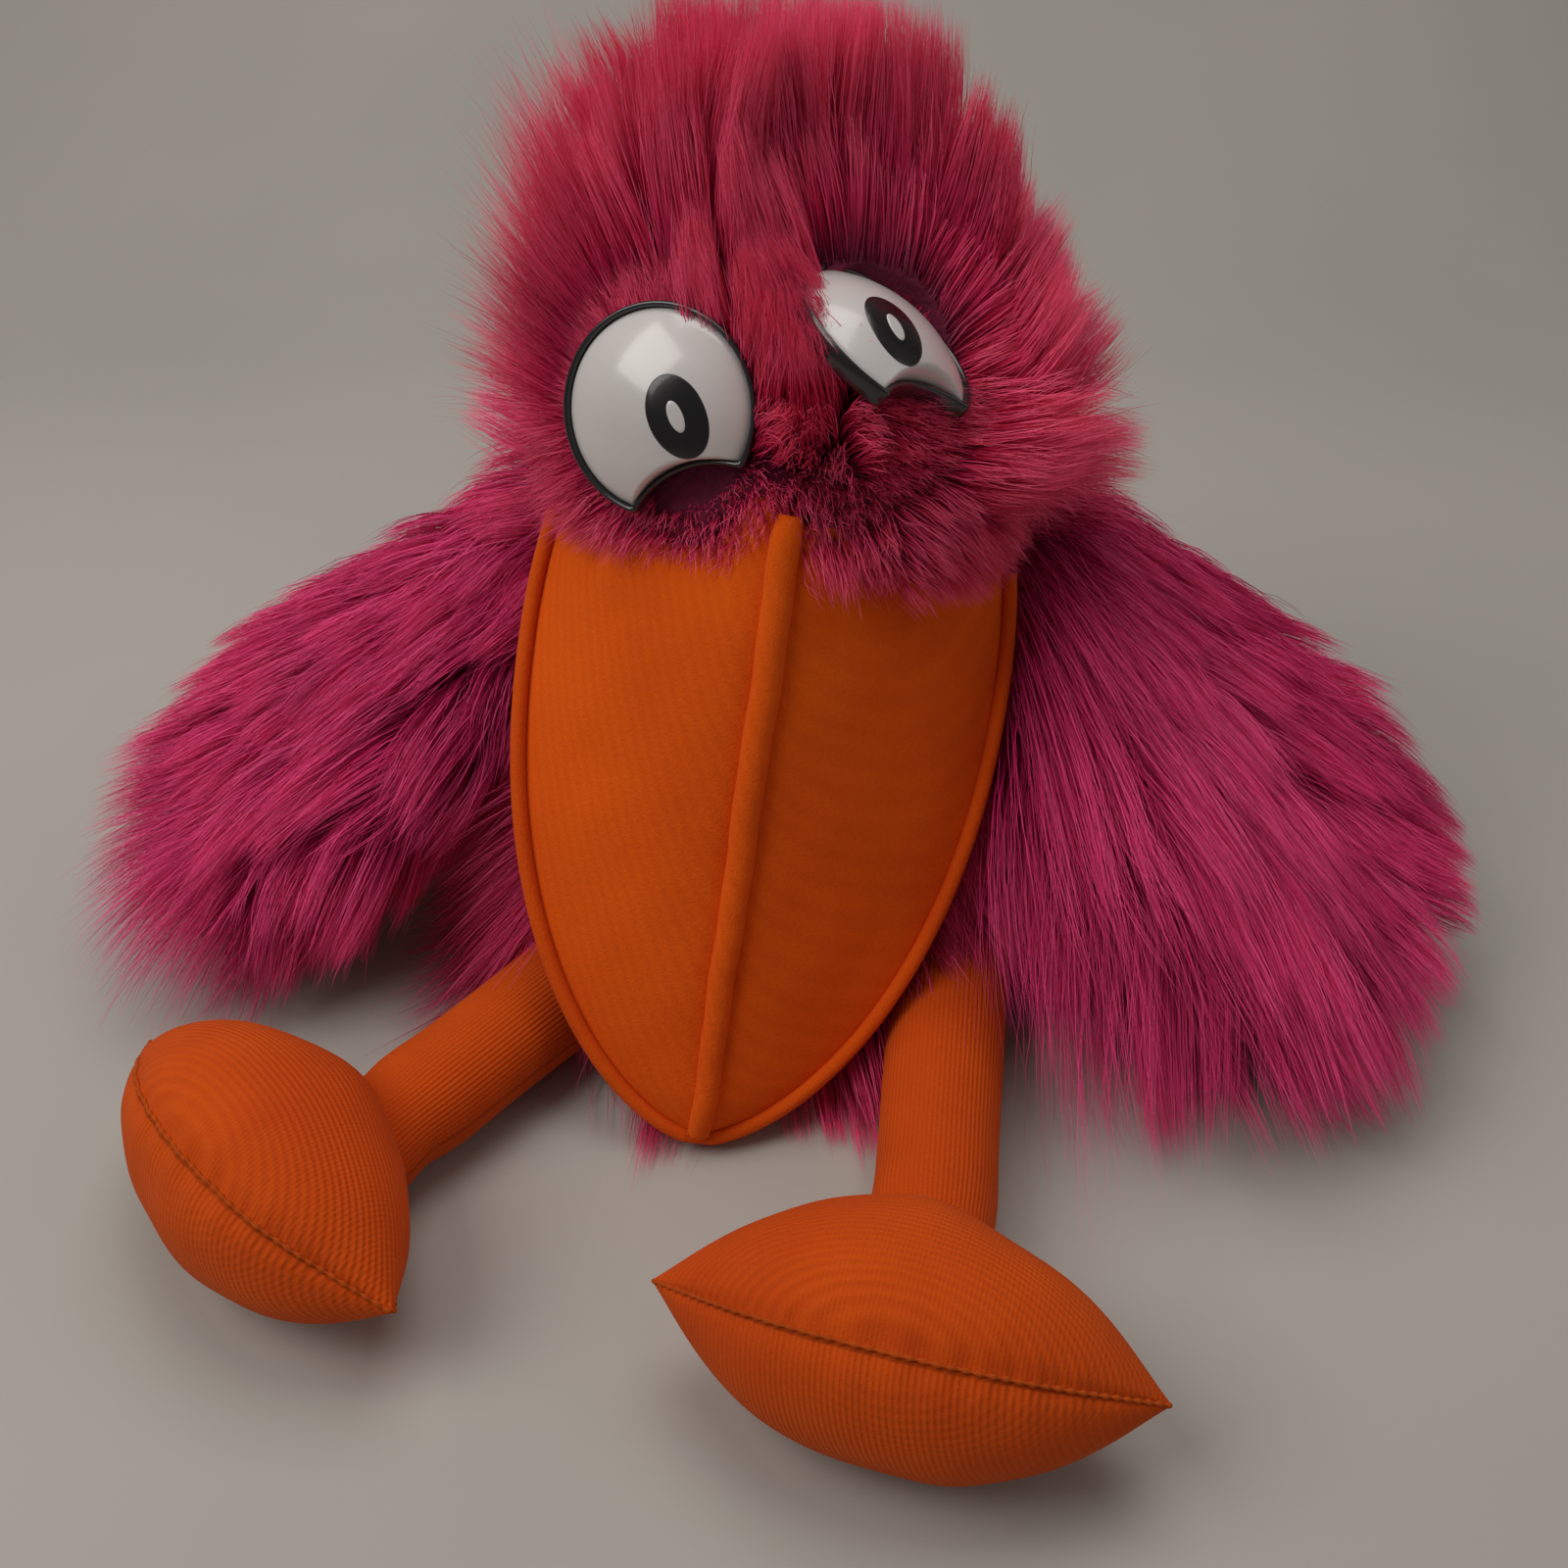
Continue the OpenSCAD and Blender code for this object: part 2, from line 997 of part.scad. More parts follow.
// A foot: a stuffed lemon shape lying across the end of the leg.
module foot_solid(inset) {
  translate([0, -foot_out, foot_d / 2 - leg_r])
    rotate([0, 90, 0])
      rotate_extrude(angle = 360, $fn = 72)
        difference() {
          union() {
            intersection() {
              translate([-lens_c, 0])
                circle(r = lens_r - inset, $fn = 200);
              translate([0, -foot_len / 2 + 7])
                square([80, foot_len - 14]);
            }
            for (y = [-1, 1]) {
              translate([0, y * (foot_len / 2 - 7)])
                circle(r = toe_r - inset, $fn = 48);
            }
          }
          translate([-100, -100])
            square([100, 200]);
        }
}

module ankle_room(r) {
  sphere(r = r, $fn = 64);
}

module foot_half(s) {
  difference() {
    intersection() {
      foot_solid(0);
      translate([0, -foot_out, foot_d / 2 - leg_r])
        rotate([seam_tilt, 0, 0])
          translate([-100, s > 0 ? 0 : -60, -60])
            cube([200, 60, 120]);
    }
    foot_solid(knit_t);
    ankle_room(leg_r + 0.8);
  }
}

module foot_core() {
  difference() {
    foot_solid(knit_t);
    ankle_room(leg_r + 0.8);
  }
}

// The stitched seam standing just proud of the two panels.
module foot_seam() {
  difference() {
    intersection() {
      foot_solid(-seam_r * 0.6);
      translate([0, -foot_out, foot_d / 2 - leg_r])
        rotate([seam_tilt, 0, 0])
          translate([-100, -seam_r, -60])
            cube([200, 2 * seam_r, 120]);
    }
    foot_solid(0);
    ankle_room(leg_r + 0.8);
    translate([-100, -100, -leg_r - 10])
      cube([200, 200, 10]);
  }
}

module foot_left_upper() {
  color(orange)
    foot_frame(hip_l_at, hip_l_turn)
      foot_half(1);
}

module foot_left_sole() {
  color(amber)
    foot_frame(hip_l_at, hip_l_turn)
      foot_half(-1);
}

module foot_left_seam() {
  color(amber)
    foot_frame(hip_l_at, hip_l_turn)
      foot_seam();
}

module foot_left_stuffing() {
  color(foam)
    foot_frame(hip_l_at, hip_l_turn)
      foot_core();
}

module foot_right_upper() {
  color(orange)
    foot_frame(hip_r_at, hip_r_turn)
      foot_half(1);
}

module foot_right_sole() {
  color(amber)
    foot_frame(hip_r_at, hip_r_turn)
      foot_half(-1);
}

module foot_right_seam() {
  color(amber)
    foot_frame(hip_r_at, hip_r_turn)
      foot_seam();
}

module foot_right_stuffing() {
  color(foam)
    foot_frame(hip_r_at, hip_r_turn)
      foot_core();
}

// ---------------------------------------------------------------- output

sleeve_lining();
hem_cuff();
body_padding();
body_fur_front();
body_fur_back();
neck_collar();
throat_foam();
throat_fur();
mouth_fold();
jaw_plate();
jaw_lining();
jaw_foam();
jaw_cover();
jaw_rim();
thumb_loop();
skull_foam();
head_fur();
crest_fur();
palate_plate();
palate_lining();
beak_foam();
beak_cover_left();
beak_cover_right();
beak_ridge();
beak_rim();
finger_pocket();
eye_left_shell();
eye_left_edge();
eye_left_pupil();
eye_left_glint();
eye_left_post();
eye_left_washer();
eye_right_shell();
eye_right_edge();
eye_right_pupil();
eye_right_glint();
eye_right_post();
eye_right_washer();
wing_left_fur();
wing_left_lining();
wing_left_stuffing();
wing_right_fur();
wing_right_lining();
wing_right_stuffing();
leg_left_cover();
leg_left_stuffing();
leg_right_cover();
leg_right_stuffing();
foot_left_upper();
foot_left_sole();
foot_left_seam();
foot_left_stuffing();
foot_right_upper();
foot_right_sole();
foot_right_seam();
foot_right_stuffing();
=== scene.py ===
import bpy
import json
import math
import numpy as np
from mathutils import Matrix, Vector, noise


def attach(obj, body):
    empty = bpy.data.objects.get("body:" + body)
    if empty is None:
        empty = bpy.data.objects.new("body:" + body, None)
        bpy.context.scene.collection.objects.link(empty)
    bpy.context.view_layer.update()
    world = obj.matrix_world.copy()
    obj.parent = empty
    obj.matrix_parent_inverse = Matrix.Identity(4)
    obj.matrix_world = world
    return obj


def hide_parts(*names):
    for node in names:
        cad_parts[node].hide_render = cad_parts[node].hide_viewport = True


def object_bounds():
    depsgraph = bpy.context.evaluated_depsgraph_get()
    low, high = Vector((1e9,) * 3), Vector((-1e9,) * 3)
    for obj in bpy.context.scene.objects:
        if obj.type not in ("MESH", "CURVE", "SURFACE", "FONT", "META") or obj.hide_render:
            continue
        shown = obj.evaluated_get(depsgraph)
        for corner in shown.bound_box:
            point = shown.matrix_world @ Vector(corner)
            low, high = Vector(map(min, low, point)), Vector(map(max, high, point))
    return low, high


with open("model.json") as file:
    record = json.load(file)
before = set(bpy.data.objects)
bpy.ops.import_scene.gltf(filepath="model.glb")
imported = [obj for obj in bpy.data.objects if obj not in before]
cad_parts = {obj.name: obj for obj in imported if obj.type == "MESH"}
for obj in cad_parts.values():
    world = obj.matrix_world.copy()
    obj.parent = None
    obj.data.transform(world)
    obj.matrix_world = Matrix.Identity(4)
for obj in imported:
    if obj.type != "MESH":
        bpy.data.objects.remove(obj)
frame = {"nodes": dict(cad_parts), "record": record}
CAD_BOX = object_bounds()
REC = frame["record"]

# ------------------------------------------------------------------ layout, in metres, as in the part's source
MM = 0.001
PIVOT = np.array([0.0, -38.0, 168.0]) * MM
ROLL = math.radians(8.8)
PITCH = math.radians(54.85)
BEAK_LEN, BEAK_ROOT, BEAK_W, BEAK_LEAN = 202.0, 27.0, 69.0, 4.0
BEAK_H, BEAK_TIP_H, JAW_H = 56.0, 8.0, 19.0
PLATE_LO = 1.2
LEG_R, LEG_LEN, FOOT_TURN, FOOT_OUT = 18.0, 126.0, -9.0, 36.0
FOOT_LEN, FOOT_D, SEAM_TILT = 128.0, 62.0, 42.0
HIPS = {"left": ((-36, -66, 18), -38), "right": ((54, -85, 18), -7)}
WINGS = {"left": ((-70, 0, 120), (204, 34)), "right": ((79, -5, 120), (-42, 34))}
EYES = {"left": ((-32.5, -47, 33), (-23, 21, 30), 7.5), "right": ((26.5, -38, 48), (78, 54, -41), -7.5)}
EYE_R, EYE_DOME, EYE_EDGE = 26.0, 9.0, 1.6


def rot(axis, deg):
    return np.array(Matrix.Rotation(math.radians(deg), 3, axis))


HEAD_R = rot("Y", math.degrees(ROLL))
BEAK_R = HEAD_R @ rot("X", math.degrees(PITCH))


def beak_to_row(p):
    """Points in the beak frame, millimetres, to the row frame, metres."""
    return np.asarray(p, float) @ BEAK_R.T * MM + PIVOT


def row_to_beak(p):
    return (np.asarray(p, float) - PIVOT) / MM @ BEAK_R


# ------------------------------------------------------------------ mesh helpers
def mesh_object(name, verts, faces, material=None, smooth=True):
    me = bpy.data.meshes.new(name)
    me.from_pydata(np.asarray(verts, float).tolist(), [], [list(map(int, f)) for f in faces])
    me.validate()
    me.update()
    ob = bpy.data.objects.new(name, me)
    bpy.context.scene.collection.objects.link(ob)
    if material is not None:
        me.materials.append(material)
    if smooth:
        me.polygons.foreach_set("use_smooth", np.ones(len(me.polygons), bool))
    return ob


def quads_object(name, verts, quads, material=None, attribute=None, mat_index=None, materials=None):
    """A big mesh straight from arrays of vertices and quads."""
    me = bpy.data.meshes.new(name)
    n, k = len(quads), quads.shape[1]
    me.vertices.add(len(verts))
    me.vertices.foreach_set("co", np.asarray(verts, np.float32).ravel())
    me.loops.add(n * k)
    me.loops.foreach_set("vertex_index", quads.astype(np.int32).ravel())
    me.polygons.add(n)
    me.polygons.foreach_set("loop_start", np.arange(0, n * k, k, dtype=np.int32))
    if materials is not None:
        for m in materials:
            me.materials.append(m)
        me.polygons.foreach_set("material_index", mat_index.astype(np.int32))
    elif material is not None:
        me.materials.append(material)
    me.polygons.foreach_set("use_smooth", np.ones(n, bool))
    me.update(calc_edges=True)
    for key, value in (attribute or {}).items():
        a = me.attributes.new(key, "FLOAT", "POINT")
        a.data.foreach_set("value", np.asarray(value, np.float32))
    ob = bpy.data.objects.new(name, me)
    bpy.context.scene.collection.objects.link(ob)
    return ob


def grid_faces(nu, nv, closed_u=False, closed_v=False, flip=False):
    i, j = np.meshgrid(np.arange(nu if closed_u else nu - 1), np.arange(nv if closed_v else nv - 1), indexing="ij")
    a = i * nv + j
    b = i * nv + (j + 1) % nv
    c = ((i + 1) % nu) * nv + (j + 1) % nv
    d = ((i + 1) % nu) * nv + j
    q = np.stack([a, b, c, d], -1).reshape(-1, 4)
    return q[:, ::-1] if flip else q


def loft_object(name, rings, material=None, cap=True, flip=False):
    """A closed skin through rings of the same number of points, wound so that it faces out."""
    rings = np.asarray(rings, float)
    m, n, _ = rings.shape
    faces = grid_faces(m, n, closed_v=True, flip=flip).tolist()
    if cap:
        low, high = list(range(n)), list(range((m - 1) * n, m * n))
        faces += [low if flip else low[::-1], high[::-1] if flip else high]
        faces[-2], faces[-1] = faces[-2][::-1], faces[-1][::-1]
    return mesh_object(name, rings.reshape(-1, 3), faces, material)


def subdivide(ob, levels):
    m = ob.modifiers.new("smooth", "SUBSURF")
    m.levels = m.render_levels = levels
    m.boundary_smooth = "PRESERVE_CORNERS"
    apply(ob)


def apply(ob):
    """Applies every modifier to the mesh."""
    dg = bpy.context.evaluated_depsgraph_get()
    dg.update()
    me = bpy.data.meshes.new_from_object(ob.evaluated_get(dg), preserve_all_data_layers=True, depsgraph=dg)
    ob.modifiers.clear()
    ob.data = me


def fix_normals(ob):
    import bmesh
    bm = bmesh.new()
    bm.from_mesh(ob.data)
    bmesh.ops.recalc_face_normals(bm, faces=bm.faces)
    bm.to_mesh(ob.data)
    bm.free()


def verts_of(ob):
    co = np.empty(len(ob.data.vertices) * 3, np.float32)
    ob.data.vertices.foreach_get("co", co)
    return co.reshape(-1, 3).astype(float)


def set_verts(ob, co):
    ob.data.vertices.foreach_set("co", np.asarray(co, np.float32).ravel())
    ob.data.update()


def normals_of(ob):
    no = np.empty(len(ob.data.vertices) * 3, np.float32)
    ob.data.vertices.foreach_get("normal", no)
    return no.reshape(-1, 3).astype(float)


def smooth_noise(points, scale, seed=0.0, octaves=2):
    out = np.zeros(len(points))
    for i, p in enumerate(np.asarray(points) * scale + seed):
        out[i] = noise.fractal(Vector(p), 1.0, 2.0, octaves)
    return out


def wave_noise(p, scale, seed):
    """Cheap smooth noise for many points: a few crossed sines, from -1 to 1."""
    r = np.random.default_rng(seed)
    out = np.zeros(len(p))
    for _ in range(5):
        d = r.normal(size=3)
        d /= np.linalg.norm(d)
        out += np.sin(p @ d * scale * r.uniform(0.7, 1.5) + r.uniform(0, 6.28))
    return out / 2.6


# ------------------------------------------------------------------ materials
def nodes_of(name):
    m = bpy.data.materials.new(name)
    m.use_nodes = True
    nt = m.node_tree
    bsdf = nt.nodes["Principled BSDF"]
    return m, nt, bsdf


def add(nt, kind, **values):
    n = nt.nodes.new(kind)
    for k, v in values.items():
        if k in n.inputs:
            n.inputs[k].default_value = v
        else:
            setattr(n, k, v)
    return n


def ramp(nt, stops, factor):
    r = nt.nodes.new("ShaderNodeValToRGB")
    e = r.color_ramp.elements
    while len(e) < len(stops):
        e.new(0.5)
    for el, (pos, col) in zip(e, stops):
        el.position = pos
        el.color = (*col, 1.0)
    nt.links.new(factor, r.inputs["Fac"])
    return r.outputs["Color"]


def coords(nt):
    return nt.nodes.new("ShaderNodeTexCoord").outputs["Object"]


def tex_noise(nt, vector, scale, detail=4.0, rough=0.55, stretch=None):
    if stretch is not None:
        m = add(nt, "ShaderNodeMapping")
        m.inputs["Scale"].default_value = stretch
        nt.links.new(vector, m.inputs["Vector"])
        vector = m.outputs["Vector"]
    n = add(nt, "ShaderNodeTexNoise", Scale=scale, Detail=detail, Roughness=rough)
    nt.links.new(vector, n.inputs["Vector"])
    return n.outputs["Fac"]


def math_node(nt, op, a, b):
    n = add(nt, "ShaderNodeMath", operation=op)
    for i, v in enumerate((a, b)):
        if isinstance(v, (int, float)):
            n.inputs[i].default_value = v
        else:
            nt.links.new(v, n.inputs[i])
    return n.outputs[0]


def bump(nt, bsdf, height, strength, distance, normal=None):
    b = add(nt, "ShaderNodeBump", Strength=strength, Distance=distance)
    nt.links.new(height, b.inputs["Height"])
    if normal is not None:
        nt.links.new(normal, b.inputs["Normal"])
    nt.links.new(b.outputs["Normal"], bsdf.inputs["Normal"])
    return b.outputs["Normal"]


def mix_colour(nt, fac, a, b, blend="MIX"):
    n = add(nt, "ShaderNodeMix", data_type="RGBA", blend_type=blend)
    for i, v in ((0, fac), (6, a), (7, b)):
        if isinstance(v, (int, float)):
            n.inputs[i].default_value = v
        elif isinstance(v, tuple):
            n.inputs[i].default_value = (*v, 1.0)
        else:
            nt.links.new(v, n.inputs[i])
    return n.outputs[2]


def fur_material(name, root, mid, tip, sheen=0.06):
    """Hair: dark at the root as painted shade deep in the pile, lighter at the tip as painted light on the top of the
    pile, with a tone of its own for each lock.
    """
    m, nt, bsdf = nodes_of(name)
    t = add(nt, "ShaderNodeAttribute", attribute_name="along")
    k = add(nt, "ShaderNodeAttribute", attribute_name="lock")
    # the ramp's dark root stop is painted shade and its bright tip stops are painted light
    base = ramp(nt, [(0.0, root), (0.35, mid), (0.8, tip), (1.0, tuple(min(1, c * 1.15) for c in tip))], t.outputs["Fac"])
    tone = ramp(nt, [(0.0, (0.62, 0.55, 0.60)), (0.5, (1.0, 1.0, 1.0)), (1.0, (1.22, 1.35, 1.20))], k.outputs["Fac"])
    col = mix_colour(nt, 1.0, base, tone, "MULTIPLY")
    nt.links.new(col, bsdf.inputs["Base Color"])
    bsdf.inputs["Roughness"].default_value = 0.5
    bsdf.inputs["Specular IOR Level"].default_value = 0.35
    bsdf.inputs["Sheen Weight"].default_value = sheen
    bsdf.inputs["Sheen Roughness"].default_value = 0.4
    bsdf.inputs["Sheen Tint"].default_value = (1.0, 0.35, 0.55, 1)
    return m


def shade_backing_material(name, dark, light):
    """The backing cloth between the hairs, coloured dark as painted shade deep in the pile."""
    m, nt, bsdf = nodes_of(name)
    v = coords(nt)
    a = tex_noise(nt, v, 60, 5)
    b = tex_noise(nt, v, 420, 3)
    f = math_node(nt, "ADD", math_node(nt, "MULTIPLY", a, 0.6), math_node(nt, "MULTIPLY", b, 0.4))
    nt.links.new(ramp(nt, [(0.25, dark), (0.75, light)], f), bsdf.inputs["Base Color"])
    bsdf.inputs["Roughness"].default_value = 0.95
    bump(nt, bsdf, b, 0.6, 0.002)
    return m


def fleece_material(name, dark, light, nap=1.0, twill=False):
    """Brushed fleece: a soft nap with fine specks, and a faint diagonal weave under it."""
    m, nt, bsdf = nodes_of(name)
    v = coords(nt)
    big = tex_noise(nt, v, 22, 4)
    fine = tex_noise(nt, v, 900, 6, 0.7)
    speck = tex_noise(nt, v, 2400, 2)
    f = math_node(nt, "ADD", math_node(nt, "MULTIPLY", big, 0.45),
                  math_node(nt, "ADD", math_node(nt, "MULTIPLY", fine, 0.35), math_node(nt, "MULTIPLY", speck, 0.25)))
    height = math_node(nt, "ADD", math_node(nt, "MULTIPLY", fine, 0.7), math_node(nt, "MULTIPLY", speck, 0.5))
    if twill:
        mp = add(nt, "ShaderNodeMapping")
        mp.inputs["Rotation"].default_value = (0.35, 0.5, 0.9)
        nt.links.new(v, mp.inputs["Vector"])
        w = add(nt, "ShaderNodeTexWave", Scale=95.0, Distortion=1.2, Detail=2.0)
        w.inputs["Detail Scale"].default_value = 3.0
        nt.links.new(mp.outputs["Vector"], w.inputs["Vector"])
        height = math_node(nt, "ADD", height, math_node(nt, "MULTIPLY", w.outputs["Fac"], 0.20))
        # the weave's wave also shifts the colour, lighter on its ridges and darker in its grooves: painted shade along
        # the weave
        f = math_node(nt, "ADD", f, math_node(nt, "MULTIPLY", math_node(nt, "SUBTRACT", w.outputs["Fac"], 0.5), 0.06))
    nt.links.new(ramp(nt, [(0.30, dark), (0.72, light)], f), bsdf.inputs["Base Color"])
    bsdf.inputs["Roughness"].default_value = 0.92
    bsdf.inputs["Specular IOR Level"].default_value = 0.2
    bsdf.inputs["Sheen Weight"].default_value = 0.12
    bsdf.inputs["Sheen Roughness"].default_value = 0.5
    bsdf.inputs["Sheen Tint"].default_value = (1.0, 0.35, 0.08, 1)
    bump(nt, bsdf, height, 0.55 * nap, 0.0009)
    return m


def knit_material(name, dark, light):
    """Ribbed sock knit: the rib follows the 'rib' attribute, in metres round the piece."""
    m, nt, bsdf = nodes_of(name)
    v = coords(nt)
    rib = add(nt, "ShaderNodeAttribute", attribute_name="rib")
    row = add(nt, "ShaderNodeAttribute", attribute_name="row")
    s = math_node(nt, "SINE", math_node(nt, "MULTIPLY", rib.outputs["Fac"], 2 * math.pi / 0.00155), 0.0)
    wob = math_node(nt, "MULTIPLY", tex_noise(nt, v, 130, 3), 3.0)
    c = math_node(nt, "SINE", math_node(nt, "ADD", math_node(nt, "MULTIPLY", row.outputs["Fac"], 2 * math.pi / 0.0011), wob), 0.0)
    fine = tex_noise(nt, v, 1500, 4, 0.7)
    big = tex_noise(nt, v, 24, 4)
    height = math_node(nt, "ADD", math_node(nt, "MULTIPLY", s, 0.30),
                       math_node(nt, "ADD", math_node(nt, "MULTIPLY", c, 0.10), math_node(nt, "MULTIPLY", fine, 0.55)))
    # the rib's sine also enters the colour, lighter on the ridges and darker in the grooves: painted shade along the
    # rib
    f = math_node(nt, "ADD", math_node(nt, "MULTIPLY", big, 0.5),
                  math_node(nt, "ADD", math_node(nt, "MULTIPLY", fine, 0.35), math_node(nt, "MULTIPLY", s, 0.045)))
    nt.links.new(ramp(nt, [(0.25, dark), (0.70, light)], f), bsdf.inputs["Base Color"])
    bsdf.inputs["Roughness"].default_value = 0.9
    bsdf.inputs["Specular IOR Level"].default_value = 0.2
    bsdf.inputs["Sheen Weight"].default_value = 0.10
    bsdf.inputs["Sheen Tint"].default_value = (1.0, 0.35, 0.08, 1)
    bump(nt, bsdf, height, 0.6, 0.0007)
    return m


def plastic_material(name, low, high, rough, coat=0.0):
    m, nt, bsdf = nodes_of(name)
    v = coords(nt)
    n = tex_noise(nt, v, 35, 3)
    scratch = tex_noise(nt, v, 260, 5, 0.6, (1.0, 0.15, 1.0))
    nt.links.new(ramp(nt, [(0.3, low), (0.7, high)], n), bsdf.inputs["Base Color"])
    nt.links.new(math_node(nt, "ADD", rough - 0.04, math_node(nt, "MULTIPLY", scratch, 0.10)), bsdf.inputs["Roughness"])
    bsdf.inputs["Coat Weight"].default_value = coat
    bsdf.inputs["Coat Roughness"].default_value = 0.08
    bump(nt, bsdf, scratch, 0.05, 0.0002)
    return m


def speckle_material(name, dark, light, scale, rough=0.9, depth=0.0008, strength=0.4):
    m, nt, bsdf = nodes_of(name)
    v = coords(nt)
    n = tex_noise(nt, v, scale, 5, 0.65)
    nt.links.new(ramp(nt, [(0.3, dark), (0.7, light)], n), bsdf.inputs["Base Color"])
    bsdf.inputs["Roughness"].default_value = rough
    bump(nt, bsdf, n, strength, depth)
    return m


# each fur runs from a root colour darkened as painted shade to a tip colour lightened as painted light
FUR = fur_material("fur_pink", (0.120, 0.003, 0.030), (0.620, 0.014, 0.125), (0.860, 0.060, 0.210))
FUR_CREST = fur_material("fur_crest", (0.150, 0.003, 0.030), (0.720, 0.018, 0.120), (0.920, 0.095, 0.215))
FUR_WING = fur_material("fur_wing", (0.110, 0.003, 0.034), (0.600, 0.014, 0.140), (0.840, 0.055, 0.235))
# the backing's dark colour is painted shade between the hairs
SHADE_BACKING = shade_backing_material("fur_backing_painted_shade", (0.050, 0.002, 0.014), (0.200, 0.006, 0.050))
BEAK = fleece_material("beak_fleece", (0.68, 0.072, 0.0012), (0.92, 0.132, 0.0022), 1.0, True)
PIPING = fleece_material("beak_piping", (0.58, 0.056, 0.001), (0.84, 0.110, 0.002), 1.0)
KNIT = knit_material("orange_knit", (0.50, 0.048, 0.001), (0.74, 0.098, 0.002))
SEAM = fleece_material("seam_thread", (0.30, 0.035, 0.002), (0.55, 0.085, 0.004), 0.6)
MOUTH = fleece_material("mouth_fleece", (0.42, 0.070, 0.003), (0.66, 0.130, 0.006), 0.8)
# the eye white is an off-white greyed further as painted shade for the shadow the eyes sit in; the glint print shares
# it
WHITE = plastic_material("eye_white", (0.60, 0.57, 0.56), (0.66, 0.63, 0.62), 0.22, 0.4)
BLACK = plastic_material("eye_black", (0.006, 0.006, 0.007), (0.012, 0.012, 0.013), 0.20, 0.5)
PRINT = plastic_material("eye_print", (0.004, 0.003, 0.004), (0.008, 0.007, 0.008), 0.26, 0.3)
LINING = speckle_material("lining_knit", (0.10, 0.010, 0.035), (0.20, 0.020, 0.070), 700)
STUFFING = speckle_material("stuffing", (0.62, 0.60, 0.55), (0.80, 0.78, 0.73), 160, 0.95, 0.002, 0.7)
FOAM = speckle_material("foam", (0.55, 0.46, 0.28), (0.78, 0.70, 0.48), 900, 0.9, 0.001, 0.5)
BOARD = speckle_material("stiff_board", (0.03, 0.03, 0.03), (0.07, 0.07, 0.07), 500, 0.7, 0.0003, 0.3)
WASHER = plastic_material("washer_plastic", (0.60, 0.60, 0.58), (0.72, 0.72, 0.70), 0.4)

for n, ob in frame["nodes"].items():
    mat = (STUFFING if "stuffing" in n or "padding" in n else
           FOAM if n.endswith("foam") else
           BOARD if n.endswith("plate") else
           MOUTH if n in ("jaw_lining", "palate_lining", "mouth_fold") else
           LINING if n in ("sleeve_lining", "hem_cuff", "neck_collar", "finger_pocket", "thumb_loop") else
           WASHER if n.endswith("washer") else
           BLACK if n.endswith(("post", "edge")) else
           SEAM if n.endswith("seam") else
           SHADE_BACKING)
    ob.data.materials.clear()
    ob.data.materials.append(mat)

# ------------------------------------------------------------------ beak shapes, as in the part's source


def beak_half(u):
    u = np.asarray(u, float)
    a = BEAK_W - 3 * ((60 - u) / 34) ** 2
    b = BEAK_W * np.maximum(0, 1 - np.maximum(0, (u - 60) / (BEAK_LEN - 60)) ** 2.2) ** 0.62
    return np.where(u < 60, a, b)


def skew(u):
    return BEAK_LEAN * (1 - np.asarray(u, float) / BEAK_LEN)


def ease(u):
    return np.maximum(0, (BEAK_LEN + 1 - u) / (BEAK_LEN - BEAK_ROOT)) ** 1.05


def cap_off(u):
    return np.sqrt(np.maximum(0.04, 1 - np.maximum(0, (u - BEAK_LEN + 14) / 15) ** 2))


def ridge_top(u):
    return (BEAK_TIP_H + (BEAK_H - BEAK_TIP_H) * ease(u)) * cap_off(u)


def jaw_deep(u):
    return (6 + (JAW_H - 6) * ease(u)) * cap_off(u)


